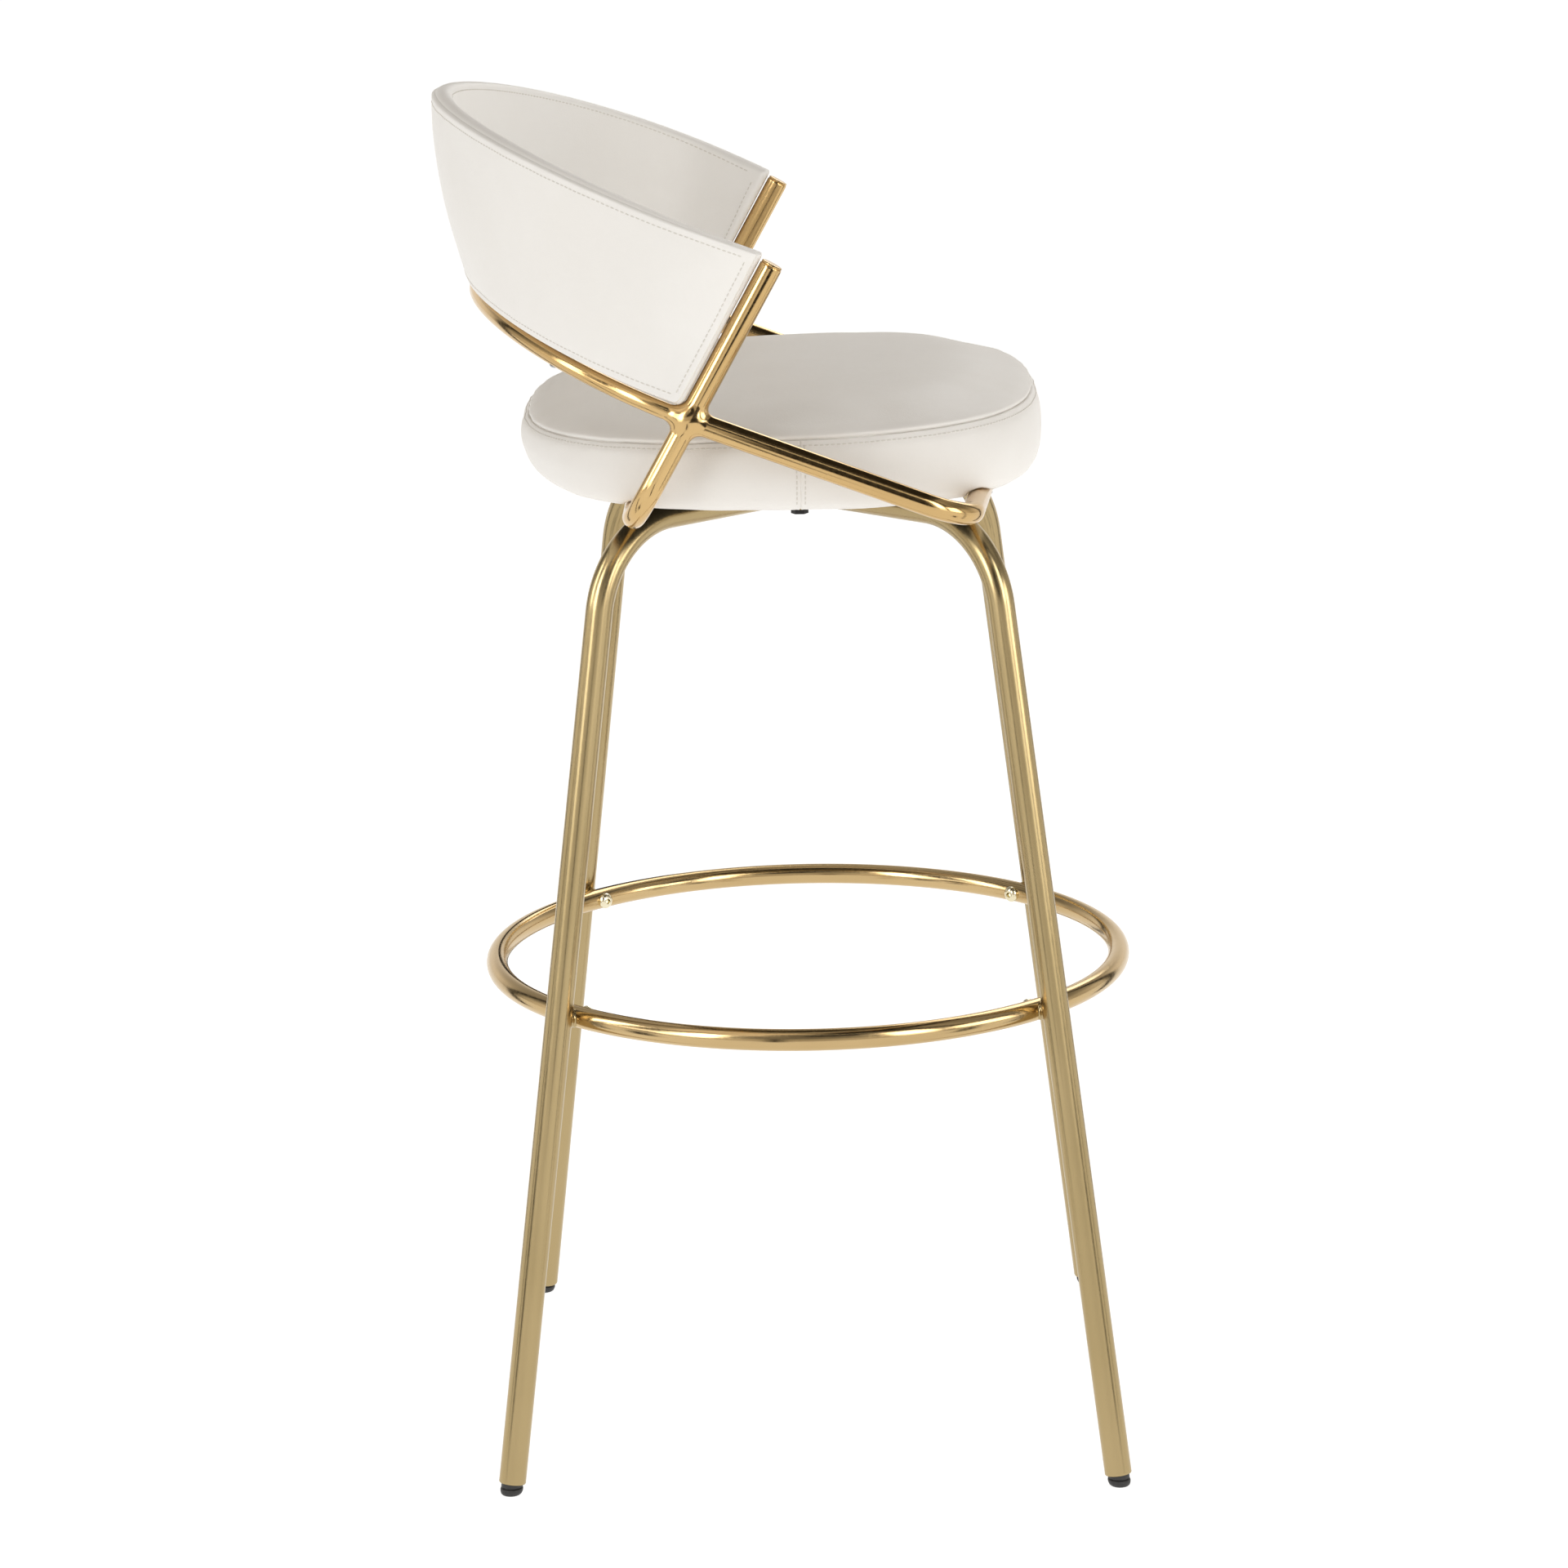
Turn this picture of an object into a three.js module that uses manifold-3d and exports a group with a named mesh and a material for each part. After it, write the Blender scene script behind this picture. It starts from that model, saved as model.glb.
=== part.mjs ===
// Bar stool with a footrest ring, a swivelling round-cornered seat and a wrap-around back.
//
// Frame: millimetres, +Z up, floor at Z = 0. The sitter faces -Y and the sitter's right is -X.
// The origin lies on the floor under the middle of the whole stool. The swivel axis is vertical and
// lies SWIVEL_Y behind that point, because the back reaches further out than the footrest ring.
import * as THREE from 'three';
import { mergeVertices } from 'three/addons/utils/BufferGeometryUtils.js';
import Module from 'manifold-3d';

const wasm = await Module();
wasm.setup();

// ---- Driving dimensions ------------------------------------------------------------------------
const GAP = 0.3;              // clearance kept between pieces that touch
const PLUG_PLAY = 1.3;        // clearance round a plug inside the end of a tube

// Base: four bent legs on a hub
const LEG_R = 10;             // outside radius of the leg tube
const LEG_WALL = 1.5;
const LEG_BEND = 74;          // centreline radius of the bend under the seat
const FOOT_REACH = 225;       // foot centre from the swivel axis, along X and along Y
const LEG_RAKE = 0.1225;      // inward lean along X and along Y, per millimetre of height
const LEG_START_Z = 8.5;      // middle of the lower end of the tube
const ARM_Z = 709.5;          // centreline height of the arms that run to the hub
const HUB_R = 12;
const HUB_BOTTOM = 696;
const GLIDE_DEPTH = 26;       // top of the glide's plug inside the leg
const GLIDE_PAD = [[0, 0], [6, 0], [7.8, 1.2], [8.5, 3], [8.2, 5], [0, 6]];    // [radius, height]

// Footrest
const RING_R = 238;           // centreline radius
const RING_TUBE_R = 8;
const RING_WALL = 1.5;
const RING_Z = 350;
const RING_BOLT_R = 3;
const SADDLE_R = 6.5;
const BUTTON_HEAD = [[0, 0], [5.6, 0], [5.4, 1.6], [4, 3], [2, 3.5], [0, 3.5]];
const SOCKET_R = 1.9;         // hexagon socket, to its corners
const SOCKET_DEPTH = 1.9;

// Swivel
const PLATE_T = 2.2;
const LOWER_PLATE_SIDE = 150;
const SEAT_PLATE_T = 3;
const SEAT_PLATE_WIDTH = 120;
const BALL_RING_R = 46;       // middle radius of the bearing ring
const BALL_RING_HALF = 9;     // half the width of that ring
const BALL_RING_T = 4.1;
const BOLT_R = 5;             // centre bolt
const BOLT_HEAD_R = 6.6;
const BOLT_HEAD_T = 4;
const WASHER_R = 12;
const WASHER_T = 1.5;
const NUT_R = 9;              // to its corners
const NUT_T = 7;
const PLATE_SCREW_R = 3;
const PLATE_SCREW_XY = 60;
const PLATE_SCREW_HEAD = [[0, 0], [5, 0], [4.6, 1.2], [3, 1.9], [0, 2.1]];

// Seat frame tubes
const FRAME_R = 8;
const FRAME_WALL = 1.5;
const FRAME_BEND = 36;
const SIDE_X = 254;           // both side frames stand at this distance from the middle
const RUN_Z = 731;            // centreline height of the two runs under the seat
const POST_TOP_Y = 14.7;      // measured behind the swivel axis
const POST_TOP_Z = 911.5;
const POST_LEAN = 0.5595;     // backward travel per millimetre going down
const FRONT_CORNER_Y = -121;  // where the side and the run of the arm tube would meet
const FRONT_BOW = 24;         // how far the middle of the front run reaches past that corner
const FRONT_BOW_R = 1000;
const CROSSING_Z = 805;       // where the arm tube and the hoop meet the post
const HOOP_R = 6;
const HOOP_WALL = 1.5;
const HOOP_REAR_Y = 235.6;
const HOOP_RISE = 0.396;      // height gained per millimetre going back
const HOOP_POWER = 1.9;       // fullness of the hoop in plan; 2 is an ellipse
const CAP_T = 1.5;            // flat end on each post
const CAP_PLUG = 10;

// Seat
const SEAT_Y = 13;            // middle of the cushion behind the swivel axis
const SEAT_HALF_X = 230;
const SEAT_HALF_Y = 194;
const SEAT_POWER = 2.7;
const SEAT_SEAM_Z = 785;
const SEAT_TILT = 0.03;       // rise of the seam towards the front, per millimetre
const SEAT_CROWN = 20.5;       // rise of the cushion from the seam to the middle
const CROWN_POWER = 2.4;      // fullness of the crown; 2 is an elliptical dome
const BOARD_INSET = 24;
const COVER_DROP = 7;         // how far the padded edge hangs below the board
const BOARD_T = 12;
const SKIN_T = 1.2;
const SEAM_INSET = 4.5;
const SEAT_BOLT_X = 90;       // the seat is held by a screw at each side of both runs
const SEAT_BOLT_R = 3;
const SEAT_BOLT_HEAD_R = 5.5;
const SEAT_BOLT_HEAD_T = 2;
const SEAT_BOLT_REACH = 8;    // how far those screws go into the board

// Back
const BACK_CORE_T = 6;
const BACK_T = 14;
const BACK_CENTRE_Y = 75.75;
const BACK_HALF_X = 268;      // middle surface of the top edge
const BACK_HALF_Y = 182;
const BACK_POWER = 1.85;
const BACK_END_Z = 920.5;     // top edge beside the posts
const BACK_REAR_Z = 1014.7;   // top edge at the rear
const BACK_SWELL = 10.7;      // how much the top edge bows above the straight slope
const BACK_LIFT = 7.8;        // lower edge above the centreline of the hoop
const BACK_BULGE = 6;         // swell of the outer padding at mid height
const POST_CLEARANCE = 0.8;
const BACK_SCREW_R = 1.5;
const BACK_SCREW_LENGTH = 30;
const BACK_SCREW_HEAD_R = 3.2;
const BACK_SCREW_HEAD_T = 2;

// ---- Worked-out dimensions ---------------------------------------------------------------------
const BACK_REACH = BACK_CENTRE_Y + BACK_HALF_Y + BACK_T / 2;
const RING_REACH = RING_R + RING_TUBE_R;
const SWIVEL_Y = (RING_REACH - BACK_REACH) / 2;
const ARM_TOP = ARM_Z + LEG_R;
const LOWER_PLATE_Z = ARM_TOP + GAP;
const BALL_RING_Z = LOWER_PLATE_Z + PLATE_T + GAP;
const SEAT_PLATE_Z = BALL_RING_Z + BALL_RING_T + GAP;
const RUN_TOP = RUN_Z + FRAME_R;
const DUST_T = 0.6;
const DUST_Z = RUN_TOP + GAP;
const BOARD_Z = DUST_Z + DUST_T + GAP;
const BOARD_TOP = BOARD_Z + BOARD_T;
const postY = (z) => POST_TOP_Y + POST_LEAN * (POST_TOP_Z - z);
const CROSSING_Y = postY(CROSSING_Z);

// ---- Materials ---------------------------------------------------------------------------------
const paint = (color, roughness, metalness) =>
  new THREE.MeshStandardMaterial({ color, roughness, metalness });
const satinGold = paint(0xc9ad74, 0.32, 1);
const brightGold = paint(0xd6ab68, 0.14, 1);
const boltGold = paint(0xe0c46a, 0.2, 1);
const blackSteel = paint(0x17171a, 0.45, 0.6);
const blackPlastic = paint(0x1b1a19, 0.55, 0);
const zinc = paint(0xa9abac, 0.35, 1);
const creamLeather = paint(0xece8e1, 0.5, 0);
const foamColour = paint(0xe9dfb8, 0.9, 0);
const plywood = paint(0xb78d5c, 0.7, 0);
const blackCloth = paint(0x1d1d1f, 0.95, 0);

// ---- Small tools -------------------------------------------------------------------------------
const v3 = (x, y, z) => new THREE.Vector3(x, y, z);
const stool = new THREE.Group();
const axisGroup = new THREE.Group();      // everything is drawn about the swivel axis
axisGroup.position.y = SWIVEL_Y;
stool.add(axisGroup);

function add(name, geometry, material) {
  const mesh = new THREE.Mesh(geometry, material);
  mesh.name = name;
  axisGroup.add(mesh);
  return mesh;
}

function toSolid(geometry) {
  const bare = geometry.clone();
  bare.deleteAttribute('normal');
  bare.deleteAttribute('uv');
  const merged = mergeVertices(bare, 1e-4);
  return new wasm.Manifold(new wasm.Mesh({
    numProp: 3,
    vertProperties: new Float32Array(merged.attributes.position.array),
    triVerts: new Uint32Array(merged.index.array),
  }));
}

function toGeometry(solid) {
  const mesh = solid.getMesh();
  const geometry = new THREE.BufferGeometry();
  geometry.setAttribute('position', new THREE.BufferAttribute(new Float32Array(mesh.vertProperties), 3));
  geometry.setIndex(new THREE.BufferAttribute(new Uint32Array(mesh.triVerts), 1));
  geometry.computeVertexNormals();
  return geometry;
}

function cut(geometry, ...tools) {
  const result = tools.reduce((left, tool) => left.subtract(toSolid(tool)), toSolid(geometry));
  return toGeometry(result);
}

function join(...parts) {
  const result = parts.slice(1).reduce((sum, part) => sum.add(toSolid(part)), toSolid(parts[0]));
  return toGeometry(result);
}

// A cylinder from one point to another.
function rod(from, to, radius, sides = 12) {
  const along = to.clone().sub(from);
  const geometry = new THREE.CylinderGeometry(radius, radius, along.length(), sides);
  const turn = new THREE.Quaternion().setFromUnitVectors(v3(0, 1, 0), along.clone().normalize());
  geometry.applyQuaternion(turn);
  const middle = from.clone().add(to).multiplyScalar(0.5);
  geometry.translate(middle.x, middle.y, middle.z);
  return geometry;
}

// A turned shape standing on the Z axis: its profile is a list of [radius, height].
function turned(profile, sides = 18) {
  const points = profile.map(([radius, height]) => new THREE.Vector2(radius, height));
  return new THREE.LatheGeometry(points, sides).rotateX(Math.PI / 2);
}

// A path of straight stretches and round corners, with stations only where the tube needs them.
class BentPath extends THREE.Curve {
  constructor(knees, radii, arcSteps = 6) {
    super();
    this.stations = [{ point: knees[0], tangent: knees[1].clone().sub(knees[0]).normalize() }];
    for (let i = 1; i < knees.length - 1; i += 1) {
      const radius = Array.isArray(radii) ? radii[i - 1] : radii;
      const inward = knees[i].clone().sub(knees[i - 1]).normalize();
      const outward = knees[i + 1].clone().sub(knees[i]).normalize();
      const turn = inward.angleTo(outward);
      const start = knees[i].clone().addScaledVector(inward, -radius * Math.tan(turn / 2));
      const side = outward.clone().addScaledVector(inward, -outward.dot(inward)).normalize();
      const centre = start.clone().addScaledVector(side, radius);
      for (let step = 0; step <= arcSteps; step += 1) {
        const angle = (turn * step) / arcSteps;
        const point = centre.clone()
          .addScaledVector(side, -radius * Math.cos(angle))
          .addScaledVector(inward, radius * Math.sin(angle));
        const tangent = inward.clone().multiplyScalar(Math.cos(angle)).addScaledVector(side, Math.sin(angle));
        this.stations.push({ point, tangent });
      }
    }
    const last = knees.length - 1;
    this.stations.push({
      point: knees[last],
      tangent: knees[last].clone().sub(knees[last - 1]).normalize(),
    });
  }

  get steps() {
    return this.stations.length - 1;
  }

  getPoint(t) {
    const place = Math.min(t * this.steps, this.steps - 1e-9);
    const index = Math.floor(place);
    return this.stations[index].point.clone().lerp(this.stations[index + 1].point, place - index);
  }

  getTangent(t) {
    return this.stations[Math.round(t * this.steps)].tangent.clone();
  }

  getPointAt(u) {
    return this.getPoint(u);
  }

  getTangentAt(u) {
    return this.getTangent(u);
  }
}

// A path through points given by a function of 0..1, with one station for each step.
class SampledPath extends BentPath {
  constructor(pointAt, steps) {
    const points = Array.from({ length: steps + 1 }, (_, i) => pointAt(i / steps));
    super([points[0], points[steps]], 0);
    this.stations = points.map((point, i) => {
      const before = points[Math.max(i - 1, 0)];
      const after = points[Math.min(i + 1, steps)];
      return { point, tangent: after.clone().sub(before).normalize() };
    });
  }
}

function circlePoints(radius, sides) {
  return Array.from({ length: sides }, (_, i) => {
    const angle = (2 * Math.PI * i) / sides;
    return new THREE.Vector2(radius * Math.cos(angle), radius * Math.sin(angle));
  });
}

function tube(path, radius, wall, sides = 12) {
  const section = new THREE.Shape(circlePoints(radius, sides));
  section.holes.push(new THREE.Path(circlePoints(radius - wall, sides / 2)));
  return new THREE.ExtrudeGeometry(section, { steps: path.steps, extrudePath: path, bevelEnabled: false });
}

function solidTube(path, radius, sides = 12) {
  const section = new THREE.Shape(circlePoints(radius, sides));
  return new THREE.ExtrudeGeometry(section, { steps: path.steps, extrudePath: path, bevelEnabled: false });
}

// A squared-off ellipse in plan: the radius at an angle, for half widths a and b.
function roundedRadius(angle, a, b, power) {
  const across = Math.abs(Math.cos(angle) / a) ** power;
  const along = Math.abs(Math.sin(angle) / b) ** power;
  return (across + along) ** (-1 / power);
}

// A turned shape whose radii are insets from the cushion's outline: [fraction, inset, height].
function cushionShape(profile, sides = 36) {
  const flat = profile.map(([fraction, inset, height]) => [fraction * SEAT_HALF_X - inset, height]);
  const geometry = turned(flat, sides);
  const place = geometry.attributes.position;
  for (let i = 0; i < place.count; i += 1) {
    const row = i % profile.length;
    const [fraction, inset] = profile[row];
    const angle = Math.atan2(place.getY(i), place.getX(i));
    const outline = roundedRadius(angle, SEAT_HALF_X, SEAT_HALF_Y, SEAT_POWER);
    const radius = Math.max(outline * fraction - inset, 0);
    const height = place.getZ(i);
    const share = Math.min(Math.max((height - BOARD_TOP) / (SEAT_SEAM_Z - BOARD_TOP), 0), 1);
    const lift = -SEAT_TILT * radius * Math.sin(angle) * share;
    place.setXYZ(i, radius * Math.cos(angle), radius * Math.sin(angle), height + lift);
  }
  geometry.translate(0, SEAT_Y, 0);
  return geometry;
}

const sides = [
  { name: 'right', x: -1 },
  { name: 'left', x: 1 },
];
const ends = [
  { name: 'front', y: -1 },
  { name: 'rear', y: 1 },
];
const corners = ends.flatMap((end) => sides.map((side) => ({
  name: `${end.name}_${side.name}`,
  x: side.x,
  y: end.y,
})));
const reachAt = (z) => FOOT_REACH - LEG_RAKE * z;
const plateScrewRod = (x, y, radius) => rod(
  v3(x * PLATE_SCREW_XY, y * PLATE_SCREW_XY, ARM_TOP - 6),
  v3(x * PLATE_SCREW_XY, y * PLATE_SCREW_XY, LOWER_PLATE_Z + PLATE_T + 0.5),
  radius,
  12,
);

// ---- Base --------------------------------------------------------------------------------------
const armEnd = (HUB_R + 0.6) / Math.SQRT2;
const legDiagonal = reachAt(RING_Z) * Math.SQRT2;

for (const { name, x, y } of corners) {
  const out = (distance, z) => v3(x * distance, y * distance, z);
  const radial = (distance, z) => out(distance / Math.SQRT2, z);

  const path = new BentPath([
    out(reachAt(LEG_START_Z), LEG_START_Z),
    out(reachAt(ARM_Z), ARM_Z),
    out(armEnd, ARM_Z),
  ], LEG_BEND, 8);
  const plateDrill = plateScrewRod(x, y, PLATE_SCREW_R + GAP);
  const boltHole = rod(
    radial(legDiagonal - 2 * LEG_R, RING_Z),
    radial(legDiagonal, RING_Z),
    RING_BOLT_R + GAP,
    8,
  );
  add(`leg_${name}`, cut(tube(path, LEG_R, LEG_WALL, 14), boltHole, plateDrill), satinGold);

  // Glide: a pad with a flat underside, and a plug that fills the end of the tube.
  const pad = turned(GLIDE_PAD);
  pad.translate(x * reachAt(0), y * reachAt(0), 0);
  const plugRadius = LEG_R - LEG_WALL - PLUG_PLAY;
  const plug = rod(out(reachAt(4), 4), out(reachAt(GLIDE_DEPTH), GLIDE_DEPTH), plugRadius, 16);
  add(`glide_${name}`, join(pad, plug), blackPlastic);

  // Saddle: a small block hollowed to fit the ring on one side and the leg on the other.
  const saddleBlock = rod(radial(RING_R, RING_Z), radial(legDiagonal, RING_Z), SADDLE_R, 12);
  const ringGuard = new THREE.TorusGeometry(RING_R, RING_TUBE_R + GAP, 12, 48).translate(0, 0, RING_Z);
  const legGuard = rod(out(reachAt(RING_Z - 60), RING_Z - 60), out(reachAt(RING_Z + 60), RING_Z + 60),
    LEG_R + GAP, 16);
  const throughHole = rod(
    radial(RING_R - 20, RING_Z),
    radial(legDiagonal + 20, RING_Z),
    RING_BOLT_R + GAP,
    8,
  );
  const saddle = toSolid(saddleBlock).subtract(toSolid(ringGuard)).subtract(toSolid(legGuard))
    .subtract(toSolid(throughHole));
  add(`ring_saddle_${name}`, toGeometry(saddle), satinGold);

  // Bolt: a button head with a hexagon socket inside the ring, and a shank that ends in the leg.
  const headBase = RING_R - RING_TUBE_R - 3 * GAP;
  const head = turned(BUTTON_HEAD, 16);
  const headTop = BUTTON_HEAD[BUTTON_HEAD.length - 1][1];
  const socket = new THREE.CylinderGeometry(SOCKET_R, SOCKET_R, 2 * SOCKET_DEPTH, 6)
    .rotateX(Math.PI / 2).translate(0, 0, headTop);
  const aim = new THREE.Quaternion().setFromUnitVectors(v3(0, 0, 1), out(-1, 0).normalize());
  const headInPlace = cut(head, socket).applyQuaternion(aim);
  const at = radial(headBase, RING_Z);
  headInPlace.translate(at.x, at.y, at.z);
  const shank = rod(radial(headBase - 0.5, RING_Z), radial(legDiagonal - 1.5, RING_Z), RING_BOLT_R, 12);
  add(`ring_bolt_${name}`, join(headInPlace, shank), boltGold);
}

const ringSolid = new THREE.TorusGeometry(RING_R, RING_TUBE_R, 12, 48).translate(0, 0, RING_Z);
const ringBore = new THREE.TorusGeometry(RING_R, RING_TUBE_R - RING_WALL, 6, 48).translate(0, 0, RING_Z);
const ringHoles = corners.map(({ x, y }) => {
  const out = (distance) => v3((x * distance) / Math.SQRT2, (y * distance) / Math.SQRT2, RING_Z);
  return rod(out(RING_R - 2 * RING_TUBE_R), out(RING_R + 2 * RING_TUBE_R), RING_BOLT_R + GAP, 8);
});
add('footrest_ring', cut(ringSolid, ringBore, ...ringHoles), brightGold);

const hubBody = rod(v3(0, 0, HUB_BOTTOM), v3(0, 0, ARM_TOP), HUB_R, 32);
const boltBore = rod(v3(0, 0, HUB_BOTTOM - 20), v3(0, 0, BOARD_Z), BOLT_R + GAP, 20);
add('hub', cut(hubBody, boltBore), satinGold);

// ---- Swivel ------------------------------------------------------------------------------------
const lowerPlate = new THREE.BoxGeometry(LOWER_PLATE_SIDE, LOWER_PLATE_SIDE, PLATE_T)
  .translate(0, 0, LOWER_PLATE_Z + PLATE_T / 2);
const plateDrills = corners.map(({ x, y }) => plateScrewRod(x, y, PLATE_SCREW_R + GAP));
add('swivel_lower_plate', cut(lowerPlate, boltBore, ...plateDrills), blackSteel);
for (const { name, x, y } of corners) {
  const head = turned(PLATE_SCREW_HEAD, 16);
  head.translate(x * PLATE_SCREW_XY, y * PLATE_SCREW_XY, LOWER_PLATE_Z + PLATE_T + GAP);
  add(`plate_screw_${name}`, join(head, plateScrewRod(x, y, PLATE_SCREW_R)), zinc);
}

add('swivel_ball_ring', turned([
  [BALL_RING_R - BALL_RING_HALF, BALL_RING_Z],
  [BALL_RING_R + BALL_RING_HALF, BALL_RING_Z],
  [BALL_RING_R + BALL_RING_HALF, BALL_RING_Z + BALL_RING_T],
  [BALL_RING_R - BALL_RING_HALF, BALL_RING_Z + BALL_RING_T],
  [BALL_RING_R - BALL_RING_HALF, BALL_RING_Z],
], 24), zinc);

const rearRunY = postY(RUN_Z);
// The front run is an arc that bows forward; frontRunY is its Y at a distance x from the middle.
const bowSlope = FRONT_BOW / SIDE_X;
const bowTip = FRONT_CORNER_Y - FRONT_BOW;
const bowCentreY = bowTip + FRONT_BOW_R * Math.hypot(1, bowSlope);
const frontRunY = (x) => bowCentreY - Math.sqrt(FRONT_BOW_R ** 2 - x ** 2);
const plateFront = frontRunY(SEAT_PLATE_WIDTH / 2) + FRAME_R + GAP;
const plateRear = rearRunY - FRAME_R - GAP;
const plateLength = plateRear - plateFront;
const plateMiddle = (plateRear + plateFront) / 2;
const seatPlate = new THREE.BoxGeometry(SEAT_PLATE_WIDTH, plateLength, SEAT_PLATE_T)
  .translate(0, plateMiddle, SEAT_PLATE_Z + SEAT_PLATE_T / 2);
const plateHoleRod = rod(v3(0, 0, HUB_BOTTOM), v3(0, 0, BOARD_Z), BOLT_R + 0.6, 20);
add('seat_plate', cut(seatPlate, plateHoleRod), blackSteel);

const washerTop = SEAT_PLATE_Z + SEAT_PLATE_T + GAP + WASHER_T;
add('centre_washer', turned([
  [BOLT_R + GAP, washerTop - WASHER_T],
  [WASHER_R, washerTop - WASHER_T],
  [WASHER_R, washerTop],
  [BOLT_R + GAP, washerTop],
  [BOLT_R + GAP, washerTop - WASHER_T],
], 24), zinc);
const nutBody = new THREE.CylinderGeometry(NUT_R, NUT_R, NUT_T, 6).rotateX(Math.PI / 2)
  .translate(0, 0, washerTop + GAP + NUT_T / 2);
add('centre_nut', cut(nutBody, boltBore), zinc);
const boltHead = new THREE.CylinderGeometry(BOLT_HEAD_R, BOLT_HEAD_R, BOLT_HEAD_T, 6).rotateX(Math.PI / 2)
  .translate(0, 0, HUB_BOTTOM - GAP - BOLT_HEAD_T / 2);
const boltShank = rod(v3(0, 0, HUB_BOTTOM - GAP - 1), v3(0, 0, washerTop + NUT_T + 1.5), BOLT_R, 20);
add('centre_bolt', join(boltHead, boltShank), blackSteel);

// ---- Seat frame --------------------------------------------------------------------------------
const postTop = (x) => v3(x * SIDE_X, POST_TOP_Y, POST_TOP_Z);
const rearPath = new BentPath([
  postTop(-1),
  v3(-SIDE_X, rearRunY, RUN_Z),
  v3(SIDE_X, rearRunY, RUN_Z),
  postTop(1),
], FRAME_BEND);
const seatBolts = ends.flatMap((end) => sides.map((side) => ({
  name: `${end.name}_${side.name}`,
  x: side.x * SEAT_BOLT_X,
  y: end.y > 0 ? rearRunY : frontRunY(SEAT_BOLT_X),
})));
const boltDrill = ({ x, y }) => rod(
  v3(x, y, RUN_Z - 2 * FRAME_R),
  v3(x, y, BOARD_Z + SEAT_BOLT_REACH + 1),
  SEAT_BOLT_R + GAP,
  8,
);
const drillsIn = (end) => seatBolts.filter((bolt) => bolt.name.startsWith(end)).map(boltDrill);

add('rear_u_tube', cut(tube(rearPath, FRAME_R, FRAME_WALL), ...drillsIn('rear')), brightGold);

// The arm tube starts against the front of each post and runs down and forward round the seat.
const frontDrop = v3(0, FRONT_CORNER_Y, RUN_Z).sub(v3(0, CROSSING_Y, CROSSING_Z));
const armDirection = frontDrop.clone().normalize();
const armStart = (x) => v3(x * SIDE_X, CROSSING_Y, CROSSING_Z).addScaledVector(armDirection, 1);
const frontPath = new BentPath([
  armStart(-1),
  v3(-SIDE_X, FRONT_CORNER_Y, RUN_Z),
  v3(0, bowTip, RUN_Z),
  v3(SIDE_X, FRONT_CORNER_Y, RUN_Z),
  armStart(1),
], [FRAME_BEND, FRONT_BOW_R, FRAME_BEND]);
const postGuards = sides.map(({ x }) => {
  const down = v3(x * SIDE_X, postY(CROSSING_Z - 40), CROSSING_Z - 40);
  const up = v3(x * SIDE_X, postY(CROSSING_Z + 40), CROSSING_Z + 40);
  return rod(down, up, FRAME_R + GAP, 16);
});
const biggest = (solid) => solid.decompose().sort((a, b) => b.volume() - a.volume())[0];
const cutToOne = (geometry, ...tools) => toGeometry(biggest(
  tools.reduce((left, tool) => left.subtract(toSolid(tool)), toSolid(geometry)),
));
add('front_u_tube', cutToOne(tube(frontPath, FRAME_R, FRAME_WALL), ...postGuards,
  ...drillsIn('front')), brightGold);

// Hoop: a level ellipse-like curve in plan that climbs steadily towards the rear.
function hoopPoint(t) {
  const angle = Math.PI * t;
  const sweep = Math.abs(Math.sin(angle)) ** (2 / HOOP_POWER);
  const across = Math.sign(Math.cos(angle)) * Math.abs(Math.cos(angle)) ** (2 / HOOP_POWER);
  const y = CROSSING_Y + (HOOP_REAR_Y - CROSSING_Y) * sweep;
  return v3(-SIDE_X * across, y, CROSSING_Z + HOOP_RISE * (y - CROSSING_Y));
}
for (const { name, x } of sides) {
  const up = postTop(x).sub(v3(x * SIDE_X, rearRunY, RUN_Z)).normalize();
  const top = postTop(x);
  const face = top.clone().addScaledVector(up, GAP);
  const disc = rod(face, face.clone().addScaledVector(up, CAP_T), FRAME_R - 0.2, 24);
  const plug = rod(top.clone().addScaledVector(up, -CAP_PLUG), face.clone().addScaledVector(up, 0.8),
    FRAME_R - FRAME_WALL - PLUG_PLAY, 12);
  add(`post_cap_${name}`, join(disc, plug), brightGold);
}

// ---- Seat --------------------------------------------------------------------------------------
const boardOutline = cushionShape([
  [0, 0, BOARD_Z],
  [1, BOARD_INSET, BOARD_Z],
  [1, BOARD_INSET, BOARD_TOP],
  [0, 0, BOARD_TOP],
]);
const nutSpace = rod(v3(0, 0, BOARD_Z - 2), v3(0, 0, BOARD_Z + 4), NUT_R + 2, 20);
add('seat_board', cut(boardOutline, ...seatBolts.map(boltDrill), nutSpace), plywood);

const dustSheet = cushionShape([
  [0, 0, DUST_Z],
  [1, BOARD_INSET + 4, DUST_Z],
  [1, BOARD_INSET + 4, DUST_Z + DUST_T],
  [0, 0, DUST_Z + DUST_T],
]);
add('dust_cover', cut(dustSheet, ...seatBolts.map(boltDrill), nutSpace), blackCloth);

for (const { name, x, y } of seatBolts) {
  const underTube = RUN_Z - FRAME_R - GAP;
  const head = rod(v3(x, y, underTube - SEAT_BOLT_HEAD_T), v3(x, y, underTube), SEAT_BOLT_HEAD_R, 16);
  const shank = rod(v3(x, y, underTube - 1), v3(x, y, BOARD_Z + SEAT_BOLT_REACH), SEAT_BOLT_R, 12);
  add(`seat_bolt_${name}`, join(head, shank), zinc);
}

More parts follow.
